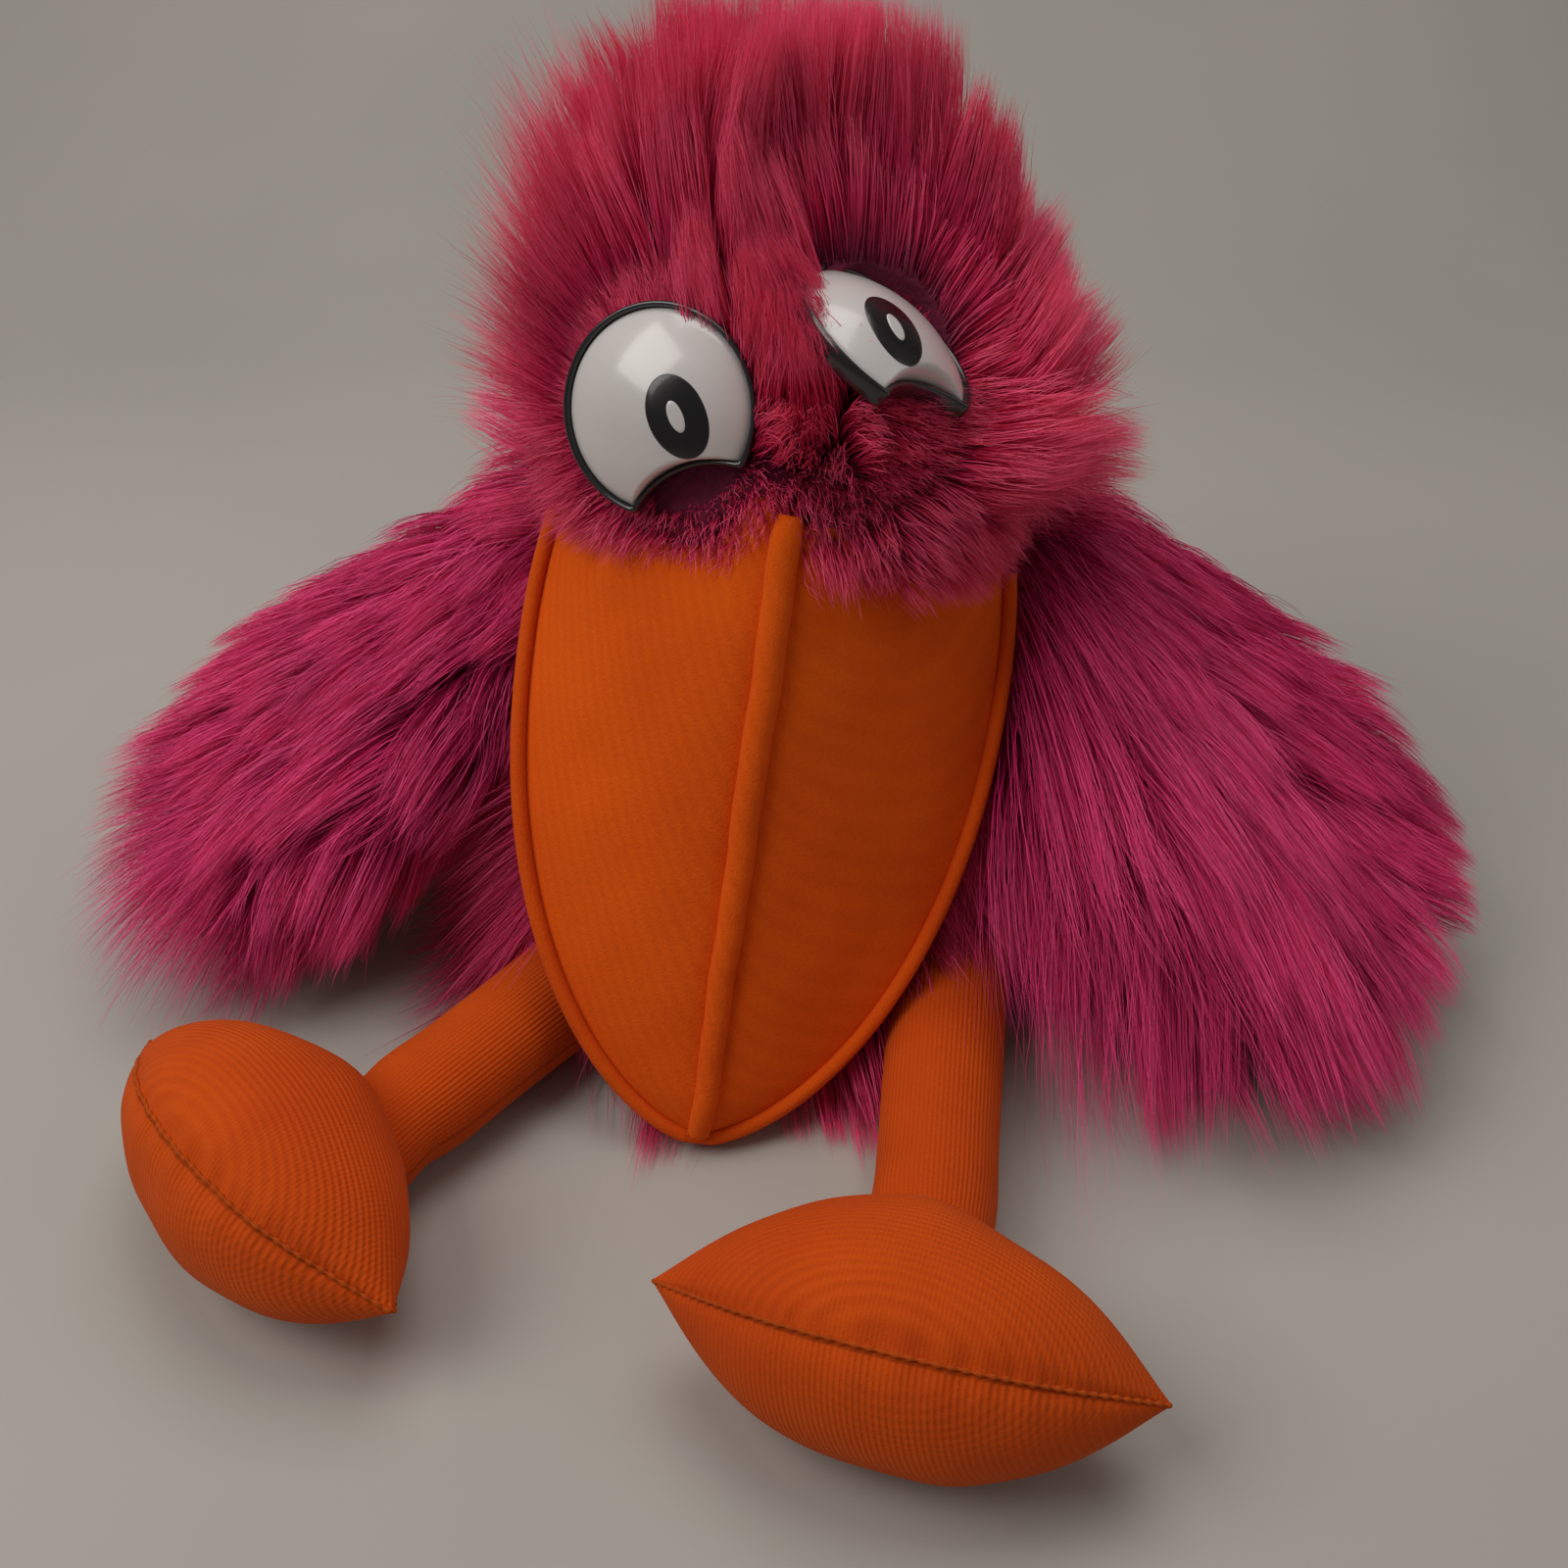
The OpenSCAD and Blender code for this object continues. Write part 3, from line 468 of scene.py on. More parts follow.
def beak_shell(name, s, material):
    """One half of the beak: a puffed cloth shell over the mouth line, with its flat underside turned in."""
    nu, nv = 96, 73
    i = np.linspace(0, 1, nu)
    tip = BEAK_LEN - 0.6
    u = BEAK_ROOT - 4 + (tip - BEAK_ROOT + 4) * np.sin(np.pi / 2 * i)
    c = np.cos(np.linspace(0, np.pi, nv))
    U = np.repeat(u[:, None], nv, 1)
    C = np.repeat(c[None, :], nu, 0)
    w = np.maximum(0.9, beak_half(U))
    h = np.maximum(0.9, (ridge_top(U) if s > 0 else jaw_deep(U)) - PLATE_LO)
    # a tent of two puffed panels, pulled in along the middle seam
    prof = 1 - np.abs(C) ** 1.7
    puff = 1 - np.exp(-((np.abs(C)) / 0.05) ** 1.2)
    X, V = w * C + skew(U) * np.abs(C), PLATE_LO + h * prof
    k = np.stack([X, -U, V], -1).reshape(-1, 3)
    q = beak_to_row(k)
    soft = wave_noise(q, 75, 11) * 0.8 + wave_noise(q, 190, 12) * 0.35
    fold = 1.6 * np.exp(-((U - 42) / 12) ** 2) * np.sin(C * 7 + 0.6) if s > 0 else 0 * U
    edge = np.clip(1 - np.abs(C), 0, 0.25) / 0.25
    lift = (soft.reshape(nu, nv) * 0.8 + fold) * edge * np.minimum(1, (BEAK_LEN - U) / 40)
    if s > 0:
        lift -= 1.4 * np.exp(-(np.abs(C) * w / 5.0) ** 2) * (1 - np.exp(-((BEAK_LEN - U) / 20)))
        V = V + lift + 0.8 * (puff - 1)
    else:
        V = V + lift * 0.5
    V = np.maximum(V, PLATE_LO * 0.9)
    top = np.stack([X, -U, V * (1 if s > 0 else -1)], -1).reshape(-1, 3)
    faces = grid_faces(nu, nv, flip=(s < 0)).tolist()
    ring = ([j for j in range(nv)] + [a * nv + nv - 1 for a in range(1, nu)]
            + [(nu - 1) * nv + j for j in range(nv - 2, -1, -1)] + [a * nv for a in range(nu - 2, 0, -1)])
    n0 = len(top)
    low = top[ring].copy()
    low[:, 2] = s * PLATE_LO * 0.9
    low[:, 0] *= 0.97
    verts = np.concatenate([top, low])
    m = len(ring)
    for a in range(m):
        b = (a + 1) % m
        faces.append([ring[a], ring[b], n0 + b, n0 + a])
    faces.append([n0 + a for a in range(m)])
    ob = mesh_object(name, beak_to_row(verts), faces, material)
    fix_normals(ob)
    return ob


def tube(name, centre, radius, material, up, squash=1.0, sides=14, rope=None):
    """A soft piped seam along centre, in the beak frame."""
    centre = np.asarray(centre, float)
    d = np.gradient(centre, axis=0)
    d /= np.linalg.norm(d, axis=1)[:, None]
    up = np.broadcast_to(np.asarray(up, float), centre.shape)
    side = np.cross(d, up)
    side /= np.linalg.norm(side, axis=1)[:, None]
    top = np.cross(side, d)
    a = np.linspace(0, 2 * np.pi, sides, endpoint=False)
    r = np.broadcast_to(np.asarray(radius, float), len(centre))[:, None]
    rings = (centre[:, None, :] + (side[:, None, :] * np.cos(a)[None, :, None]
             + top[:, None, :] * np.sin(a)[None, :, None] * squash) * r[:, :, None])
    rings = beak_to_row(rings.reshape(-1, 3)).reshape(rings.shape)
    ob = loft_object(name, rings, material)
    fix_normals(ob)
    return ob


beak = beak_shell("beak_cover", 1, BEAK)
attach(beak, "head")
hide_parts("beak_cover_left", "beak_cover_right")
jaw = beak_shell("jaw_cover_cloth", -1, BEAK)
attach(jaw, "jaw")
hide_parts("jaw_cover")

uu = BEAK_ROOT + (BEAK_LEN - 1.5 - BEAK_ROOT) * np.sin(np.pi / 2 * np.linspace(0, 1, 90))
wob = 0.5 * np.sin(uu / 9.0) + 0.35 * np.sin(uu / 3.7 + 1)
rad = 4.3 * (1 - 0.25 * np.linspace(0, 1, 90)) * np.minimum(1, 0.75 + (uu - BEAK_ROOT) / 20)
centre = np.stack([0.4 * wob, -uu, ridge_top(uu) + rad * 0.15], -1)
ridge = tube("beak_centre_seam", centre, rad, BEAK, (0, 0, 1), 0.85)
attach(ridge, "head")
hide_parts("beak_ridge")


def rim_path(out, v):
    i = np.linspace(0, 1, 120)
    u = BEAK_ROOT + (BEAK_LEN - 0.6 - BEAK_ROOT) * np.sin(np.pi / 2 * i)
    sides = []
    for s in (1, -1):
        p = np.stack([beak_half(u) + s * skew(u), -u], -1)
        d = np.gradient(p, axis=0)
        d /= np.linalg.norm(d, axis=1)[:, None]
        sides.append(p + out * np.stack([-d[:, 1], d[:, 0]], -1))
    p = np.concatenate([sides[0], sides[1][::-1] * [-1, 1]])
    k = np.abs(np.gradient(p[:, 0])) + np.abs(np.gradient(p[:, 1]))
    return np.stack([p[:, 0], p[:, 1], np.full(len(p), v)], -1)[k > 1e-6]


for s, body, node in ((1, "head", "beak_rim"), (-1, "jaw", "jaw_rim")):
    r = tube(node + "_piping", rim_path(1.0, s * 2.6), 2.3, PIPING, (0, 0, 1), 1.0, 12)
    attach(r, body)
    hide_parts(node)

# ------------------------------------------------------------------ legs and feet
LENS_R = (FOOT_LEN ** 2 / 4 + FOOT_D ** 2 / 4) / FOOT_D
LENS_C = LENS_R - FOOT_D / 2


def leg_place(side):
    (x, y, z), turn = HIPS[side]
    return rot("Z", turn), np.array([x, y, z], float)


def foot_radius(x):
    """The foot's radius at x along it, a stuffed lemon with blunt ends."""
    half = FOOT_LEN / 2
    r = np.sqrt(np.maximum(0, LENS_R ** 2 - x ** 2)) - LENS_C
    tip = np.sqrt(np.maximum(0, 1 - np.minimum(1, np.abs(x) / half) ** 6))
    return np.maximum(r, 0.0) * 1.0 * tip + 3.0 * tip * (np.abs(x) / half) ** 4


def foot_surface(X, F, seed, out=0.0):
    """Points on the stuffed foot: two panels pulled in along the seam, with puckers along it."""
    r0 = foot_radius(X)
    seam = math.radians(90 + SEAM_TILT)
    away = np.minimum(np.abs(np.sin((F - seam - np.pi) / 2)), np.abs(np.sin((F - seam) / 2)))
    pinch = np.exp(-(away / 0.07) ** 2)
    q = np.stack([X, r0 * np.cos(F), r0 * np.sin(F)], -1).reshape(-1, 3)
    lump = (wave_noise(q * MM, 85, seed) * 0.9 + wave_noise(q * MM, 210, seed + 1) * 0.3).reshape(X.shape)
    pucker = 0.30 * np.sin(X / 1.6) * np.exp(-(away / 0.16) ** 2)
    r = r0 * (1 + 0.012 * lump) + (lump * 0.6 + pucker) * (r0 / 26) - 1.1 * pinch * np.minimum(1, r0 / 12) + out
    # the instep swells towards the leg
    toward = np.exp(-(X / 24) ** 2) * np.exp(-((np.cos(F) - 1) / 0.35) ** 2)
    Y = -FOOT_OUT + r * np.cos(F) + 5.0 * toward
    Z = np.maximum(FOOT_D / 2 - LEG_R + r * np.sin(F), -LEG_R + 0.1)
    return np.stack([X, Y, Z], -1)


for side in ("left", "right"):
    R, at = leg_place(side)
    # leg: a knitted tube with slack wrinkles, pinched where it meets the foot
    nl, na = 90, 64
    t = np.linspace(-0.10, 1.14, nl)
    a = np.linspace(0, 2 * np.pi, na, endpoint=False)
    L = np.repeat((t * LEG_LEN)[:, None], na, 1)
    A = np.repeat(a[None, :], nl, 0)
    end = np.clip((1.14 - t) / 0.10, 0, 1)[:, None]
    start = np.clip((t + 0.10) / 0.12, 0, 1)[:, None]
    wrinkle = 0.55 * np.sin(L / 7.5 + 1.5 * np.sin(A + 1)) * np.exp(-((L - LEG_LEN * 0.93) / 16) ** 2)
    swell = 1.0 + 0.035 * np.sin(L / 26.0 + 0.8)
    rr = (LEG_R - 0.4) * swell * np.sqrt(np.maximum(0.02, 1 - (1 - start) ** 2)) + wrinkle
    rr = rr * (0.965 + 0.035 * np.cos(2 * A))
    neck = np.exp(-((L - LEG_LEN * 0.98) / 7) ** 2)
    rr = rr * (1 - 0.06 * neck)
    Z = np.maximum(rr * np.sin(A), -LEG_R + 0.15)
    P = np.stack([rr * np.cos(A), -L, Z], -1)
    rings = (P.reshape(-1, 3) @ R.T + at).reshape(nl, na, 3) * MM
    leg = loft_object("leg_%s_sock" % side, rings, KNIT, cap=True)
    fix_normals(leg)
    for key, value in (("rib", (A * LEG_R * MM).ravel()), ("row", (L * MM).ravel())):
        at_ = leg.data.attributes.new(key, "FLOAT", "POINT")
        at_.data.foreach_set("value", value.astype(np.float32))
    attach(leg, "leg_" + side)
    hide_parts("leg_%s_cover" % side, "leg_%s_stuffing" % side)

    # foot: two panels pulled into a seam all round
    RF = R @ rot("Z", FOOT_TURN)
    ankle = R @ np.array([0, -LEG_LEN, 0]) + at
    nx, nf = 130, 120
    x = -FOOT_LEN / 2 * np.cos(np.linspace(0.03, np.pi - 0.03, nx))
    f = np.linspace(0, 2 * np.pi, nf, endpoint=False)
    X = np.repeat(x[:, None], nf, 1)
    F = np.repeat(f[None, :], nx, 0)
    P = foot_surface(X, F, 31 if side == "left" else 41)
    rings = (P.reshape(-1, 3) @ RF.T + ankle).reshape(nx, nf, 3) * MM
    foot = loft_object("foot_%s_cover" % side, rings, KNIT, cap=True)
    fix_normals(foot)
    seam = math.radians(90 + SEAM_TILT)
    r0 = foot_radius(X)
    upper = np.cos(F - seam + np.pi / 2) > 0
    rib = np.where(upper, r0 * np.cos(F - seam), X + 0.35 * r0 * np.cos(F - seam))
    row = np.where(upper, X, r0 * np.cos(F - seam))
    for key, value in (("rib", rib.ravel() * MM), ("row", row.ravel() * MM)):
        at_ = foot.data.attributes.new(key, "FLOAT", "POINT")
        at_.data.foreach_set("value", value.astype(np.float32))
    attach(foot, "foot_" + side)
    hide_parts("foot_%s_upper" % side, "foot_%s_sole" % side, "foot_%s_stuffing" % side)

    # the sewn edge from toe to toe, a twisted thread ridge lying in the groove
    xs = -FOOT_LEN / 2 * np.cos(np.linspace(0.10, np.pi - 0.10, 150))
    line = np.concatenate([foot_surface(xs, np.full(150, seam), 31 if side == "left" else 41, 0.35),
                           foot_surface(xs[::-1], np.full(150, seam + np.pi), 31 if side == "left" else 41, 0.35)])
    line = np.concatenate([line, line[:1]])
    step = np.concatenate([[0], np.cumsum(np.linalg.norm(np.diff(line, axis=0), axis=1))])
    even = np.linspace(0, step[-1], 620)
    line = np.stack([np.interp(even, step, line[:, k]) for k in range(3)], -1)[:-1]
    d = np.roll(line, -1, 0) - np.roll(line, 1, 0)
    d /= np.linalg.norm(d, axis=1)[:, None]
    out_dir = line - np.array([0, -FOOT_OUT, FOOT_D / 2 - LEG_R])
    out_dir[:, 0] *= 0.2
    sd = np.cross(d, out_dir)
    sd /= np.linalg.norm(sd, axis=1)[:, None]
    up = np.cross(sd, d)
    k = np.linspace(0, 2 * np.pi, 8, endpoint=False)
    rr = 0.55 + 0.22 * np.sin(even[:-1] * 2 * np.pi / 3.2)
    rg = line[:, None, :] + (sd[:, None, :] * np.cos(k)[None, :, None] + up[:, None, :] * np.sin(k)[None, :, None]) * rr[:, None, None]
    rg[..., 2] = np.maximum(rg[..., 2], -LEG_R + 0.05)
    rg = (rg.reshape(-1, 3) @ RF.T + ankle).reshape(rg.shape) * MM
    thread = mesh_object("foot_%s_stitching" % side, rg.reshape(-1, 3),
                         grid_faces(len(rg), 8, closed_u=True, closed_v=True), SEAM)
    fix_normals(thread)
    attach(thread, "foot_" + side)
    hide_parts("foot_%s_seam" % side)

# ------------------------------------------------------------------ eyes
DOME_R = (EYE_R ** 2 + EYE_DOME ** 2) / (2 * EYE_DOME)


def eye_outline(r_grow, n=160):
    """The disc's outline with the arched notch, as points in the eye's plane."""
    out = []
    arch_y, arch_r = -44.2, 29.2 - r_grow
    for a in np.linspace(0, 2 * np.pi, n, endpoint=False):
        p = (EYE_R + r_grow) * np.array([math.cos(a), math.sin(a)])
        if math.hypot(p[0], p[1] - arch_y) < arch_r:
            p[1] = arch_y + math.sqrt(max(0.0, arch_r ** 2 - min(p[0] ** 2, arch_r ** 2)))
        out.append(p)
    return np.array(out)


def eye_place(side):
    at, (az, el, spin), _ = EYES[side]
    Re = rot("Z", az) @ rot("X", 90 - el) @ rot("Z", spin)
    return Re, PIVOT + np.array(at) * MM


def eye_points(side, p):
    Re, at = eye_place(side)
    return np.asarray(p, float) @ Re.T * MM + at


def dome_z(p, extra=0.0):
    return np.sqrt((DOME_R + extra) ** 2 - p[:, 0] ** 2 - p[:, 1] ** 2) - DOME_R + EYE_DOME


for side in ("left", "right"):
    px = EYES[side][2]
    out = eye_outline(0)
    n = len(out)
    rings, z_edge = [], 0.35
    levels = np.concatenate([np.linspace(0.02, 0.94, 24), [0.97, 0.985, 0.995, 1.0]])
    for k in levels:
        p = out * k
        z = dome_z(p)
        drop = np.clip((k - 0.94) / 0.06, 0, 1) ** 2 * 0.9
        rings.append(np.column_stack([p, z - drop]))
    rings.append(np.column_stack([out, np.full(n, -0.9)]))
    rings.append(np.column_stack([out * 0.02, np.full(n, -0.9)]))
    pts = np.array(rings)
    ob = loft_object("eye_%s_disc" % side, eye_points(side, pts.reshape(-1, 3)).reshape(pts.shape), WHITE)
    fix_normals(ob)
    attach(ob, "head")
    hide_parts("eye_%s_shell" % side)
    # black edge: a rounded lip round the disc, closed at the back
    big, small = eye_outline(EYE_EDGE), eye_outline(0.05)
    prof = [(small, -0.6), (small, 0.5), (0.7 * small + 0.3 * big, 1.15), (0.3 * small + 0.7 * big, 1.2),
            (0.08 * small + 0.92 * big, 0.8), (big, 0.1), (big, -3.6), (big * 0.985, -4.0), (big * 0.02, -4.0)]
    inner = [(small * 0.02, -0.95), (small * 0.9, -0.95)]
    pts = np.array([np.column_stack([p, np.full(n, z)]) for p, z in inner + prof])
    ob = loft_object("eye_%s_rim" % side, eye_points(side, pts.reshape(-1, 3)).reshape(pts.shape), BLACK)
    fix_normals(ob)
    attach(ob, "head")
    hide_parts("eye_%s_edge" % side)
    # printed pupil and glint, a hair's breadth over the dome
    for kind, (rx, ry), lift, mat, node in (("pupil", (7.5, 11.0), 0.12, PRINT, "pupil"),
                                            ("glint", (1.9, 4.2), 0.24, WHITE, "glint")):
        a = np.linspace(0, 2 * np.pi, 96, endpoint=False)
        pts = []
        for k, dz in ((0.02, 1), (0.4, 1), (0.75, 1), (0.97, 1), (1.0, 0.6), (1.0, -1.0), (0.02, -1.0)):
            p = np.column_stack([px + rx * k * np.cos(a), -4.4 + ry * k * np.sin(a)])
            pts.append(np.column_stack([p, dome_z(p) + lift * dz]))
        pts = np.array(pts)
        ob = loft_object("eye_%s_%s_print" % (side, kind), eye_points(side, pts.reshape(-1, 3)).reshape(pts.shape), mat)
        fix_normals(ob)
        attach(ob, "head")
        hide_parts("eye_%s_%s" % (side, node))

# ------------------------------------------------------------------ furry skins


def girth(z):
    return 88 - 13 * ((z - 45) / 95) ** 2


def ramp_up(t):
    return (t + np.sqrt(t * t + 150)) / 2


def belly(z):
    return -113 + 0.80 * ramp_up(z - 38) - 0.6


def spine(z):
    return 84 - 22 * ((z - 50) / 90) ** 2


# ------------------------------------------------------------------ mouth and hand linings
def mouth_sheet(name, s, body, node):
    """The soft lining of one half of the mouth: a thin, slightly uneven cloth."""
    i = np.linspace(0, 1, 70)
    u = BEAK_ROOT + (BEAK_LEN - 4 - BEAK_ROOT) * np.sin(np.pi / 2 * i)
    side = np.stack([np.maximum(0.5, beak_half(u) + skew(u) - 3.4), -u], -1)
    back = np.stack([-np.maximum(0.5, beak_half(u) - skew(u) - 3.4), -u], -1)[::-1]
    ring = np.concatenate([[[side[0, 0], -8]], side, back, [[back[-1, 0], -8]]])
    mid = np.array([0.0, -95.0])
    rings = []
    for k in (0.02, 0.25, 0.5, 0.75, 0.93, 1.0):
        p = mid + (ring - mid) * k
        v = 0.24 + 0.10 * (1 + wave_noise(np.column_stack([p, 0 * p[:, 0]]) * MM, 160, 51)) + (0.35 if k == 1.0 else 0)
        rings.append(np.column_stack([p, s * v]))
    for k, v in ((1.0, 0.9), (0.98, 1.15), (0.02, 1.15)):
        rings.append(np.column_stack([mid + (ring - mid) * k, np.full(len(ring), s * v)]))
    rings = np.array(rings)
    ob = loft_object(name, beak_to_row(rings.reshape(-1, 3)).reshape(rings.shape), MOUTH)
    fix_normals(ob)
    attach(ob, body)
    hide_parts(node)


mouth_sheet("palate_cloth", 1, "head", "palate_lining")
mouth_sheet("tongue_cloth", -1, "jaw", "jaw_lining")

xs = np.linspace(-42, 42, 90)
k = np.linspace(0, 2 * np.pi, 24, endpoint=False)
XX, KK = np.repeat(xs[:, None], 24, 1), np.repeat(k[None, :], 90, 0)
rr = (3.0 + 0.18 * np.sin(XX / 1.7 + 2 * np.sin(KK))) * np.sqrt(np.maximum(0.05, 1 - (np.abs(XX) / 42.2) ** 24))
rings = beak_to_row(np.stack([XX, rr * np.cos(KK), rr * np.sin(KK)], -1).reshape(-1, 3)).reshape(90, 24, 3)
fold = loft_object("mouth_corner_fold", rings, MOUTH)
fix_normals(fold)
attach(fold, "jaw")
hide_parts("mouth_fold")


def sleeve(name, r_in, r_out, z0, z1, node, ribs, depth):
    """A knitted tube with ribs, open at both ends."""
    n, m = 240, 60
    a = np.linspace(0, 2 * np.pi, n, endpoint=False)
    z = np.linspace(z0, z1, m)
    rib = depth * 0.5 * (1 + np.sin(a * ribs))
    prof = []
    for h in z:
        w = 0.25 * math.sin(h / 6.0)
        prof.append((r_in + 0.15 + rib * 0.6, h + w * 0.2))
    for h in z[::-1]:
        prof.append((r_out - 0.1 - rib * 0.6, h))
    rings = np.array([np.column_stack([r * np.cos(a), r * np.sin(a), np.full(n, h)]) for r, h in prof]) * MM
    ob = mesh_object(name, rings.reshape(-1, 3), grid_faces(len(rings), n, closed_u=True, closed_v=True), LINING)
    fix_normals(ob)
    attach(ob, "body")
    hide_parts(node)


sleeve("sleeve_cloth", 46, 48, 0.4, 100, "sleeve_lining", 60, 0.5)
sleeve("cuff_cloth", 48, 53, 0.3, 7, "hem_cuff", 48, 1.2)


# ------------------------------------------------------------------ furry skins
def unit(v):
    return v / np.maximum(1e-9, np.linalg.norm(v, axis=-1, keepdims=True))


def sstep(a, b, x):
    t = np.clip((x - a) / (b - a), 0, 1)
    return t * t * (3 - 2 * t)


def joined_skin(name, nodes, voxel, shape, body):
    """One skin over several CAD solids, remeshed, then drawn in to leave room for the hair."""
    import bmesh
    bm = bmesh.new()
    for node in nodes:
        src = frame["nodes"][node]
        part = bmesh.new()
        part.from_mesh(src.data)
        part.transform(src.matrix_world)
        tmp = bpy.data.meshes.new("tmp")
        part.to_mesh(tmp)
        part.free()
        bm.from_mesh(tmp)
        bpy.data.meshes.remove(tmp)
    me = bpy.data.meshes.new(name)
    bm.to_mesh(me)
    bm.free()
    ob = bpy.data.objects.new(name, me)
    bpy.context.scene.collection.objects.link(ob)
    r = ob.modifiers.new("remesh", "REMESH")
    r.mode = "VOXEL"
    r.voxel_size = voxel
    sm = ob.modifiers.new("soften", "SMOOTH")
    sm.factor = 0.5
    sm.iterations = 3
    apply(ob)
    co = verts_of(ob)
    no = normals_of(ob)
    new = shape(co)
    new = new + no * (wave_noise(co, 190, 61) * 0.0006)[:, None]
    new[:, 2] = np.maximum(new[:, 2], 0.0006)
    set_verts(ob, new)
    ob.data.materials.clear()
    # the skin takes the dark backing colour, painted shade between the hairs
    ob.data.materials.append(SHADE_BACKING)
    ob.data.polygons.foreach_set("use_smooth", np.ones(len(ob.data.polygons), bool))
    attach(ob, body)
    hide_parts(*nodes)
    return ob


def body_rho(p):
    """How far out a point is: 1 on the surface of the furry body."""
    z = p[:, 2] / MM
    cy = (belly(z) + spine(z)) / 2
    ry = (spine(z) - belly(z)) / 2
    return np.hypot(p[:, 0] / MM / girth(z), (p[:, 1] / MM - cy) / ry)


def shape_body(p):
    rho = body_rho(p)
    new = np.where(rho > 0.85, 0.85 + (rho - 0.85) * 0.4, rho)
    z = p[:, 2] / MM
    cy = (belly(z) + spine(z)) / 2
    f = (new / np.maximum(rho, 1e-6))
    out = p.copy()
    out[:, 0] = p[:, 0] * f
    out[:, 1] = (cy + (p[:, 1] / MM - cy) * f) * MM
    return out


def shape_head(p):
    q = p - PIVOT
    r = np.linalg.norm(q, axis=1) / MM
    f = np.where(r > 59, 59 + (r - 59) * 0.22, r) / np.maximum(r, 1e-6)
    return PIVOT + q * f[:, None]


def wing_place(side):
    at, (az, droop) = WINGS[side]
    return rot("Z", az) @ rot("Y", droop), np.array(at, float) * MM


def shape_wing(side):
    R, at = wing_place(side)

    def go(p):
        q = (p - at) @ R
        return (q * [0.95, 0.90, 0.62]) @ R.T + at
    return go


body_skin = joined_skin("body_skin", ["body_fur_front", "body_fur_back", "body_padding", "neck_collar"], 0.0034,
                        shape_body, "body")
head_skin = joined_skin("head_skin", ["head_fur", "crest_fur", "skull_foam"], 0.0034, shape_head, "head")
throat_skin = joined_skin("throat_skin", ["throat_fur", "throat_foam"], 0.003, lambda p: p.copy(), "jaw")
wing_skins = {}
for side in ("left", "right"):
    w = ["wing_%s_%s" % (side, k) for k in ("fur", "lining", "stuffing")]
    wing_skins[side] = joined_skin("wing_%s_skin" % side, w, 0.0034, shape_wing(side), "wing_" + side)


# ------------------------------------------------------------------ hair
def scatter(ob, count, keep, seed):
    """Random points over the faces of a skin that 'keep' accepts, with their normals."""
    rng = np.random.default_rng(seed)
    me = ob.data
    me.calc_loop_triangles()
    tri = np.empty(len(me.loop_triangles) * 3, np.int32)
    me.loop_triangles.foreach_get("vertices", tri)
    tri = tri.reshape(-1, 3)
    co = verts_of(ob)
    no = normals_of(ob)
    a, b, c = co[tri[:, 0]], co[tri[:, 1]], co[tri[:, 2]]
    fn = np.cross(b - a, c - a)
    area = np.linalg.norm(fn, axis=1) / 2
    mid = (a + b + c) / 3
    area = area * keep(mid, unit(fn))
    pick = rng.choice(len(tri), count, p=area / area.sum())
    u, v = rng.random(count), rng.random(count)
    flip = u + v > 1
    u[flip], v[flip] = 1 - u[flip], 1 - v[flip]
    w = 1 - u - v
    t = tri[pick]
    p = co[t[:, 0]] * w[:, None] + co[t[:, 1]] * u[:, None] + co[t[:, 2]] * v[:, None]
    n = unit(no[t[:, 0]] * w[:, None] + no[t[:, 1]] * u[:, None] + no[t[:, 2]] * v[:, None])
    return p, n


def nearest(points, centres):
    from mathutils.kdtree import KDTree
    tree = KDTree(len(centres))
    for i, c in enumerate(centres):
        tree.insert(c, i)
    tree.balance()
    return np.array([tree.find(p)[1] for p in points.tolist()])


LIMIT_LO = np.array(CAD_BOX[0]) - (np.array(CAD_BOX[1]) - np.array(CAD_BOX[0])) * 0.03 - 0.0085
LIMIT_HI = np.array(CAD_BOX[1]) + (np.array(CAD_BOX[1]) - np.array(CAD_BOX[0])) * 0.03 + 0.0085
POINTS = 6
MAX_HAIRS = 19000


def clear_of_beak(P):
    """The share of each hair that stays out of the beak and the space over it."""
    b = row_to_beak(P)
    u = -b[..., 1]
    half = beak_half(np.minimum(u, BEAK_LEN)) + 6
    inside = (u > BEAK_ROOT - 5) & (u < BEAK_LEN + 3) & (np.abs(b[..., 0]) < half) & (b[..., 2] > -9)
    first = np.where(inside.any(1), inside.argmax(1), POINTS)
    return np.clip((first - 0.6) / (POINTS - 1), 0.08, 1)


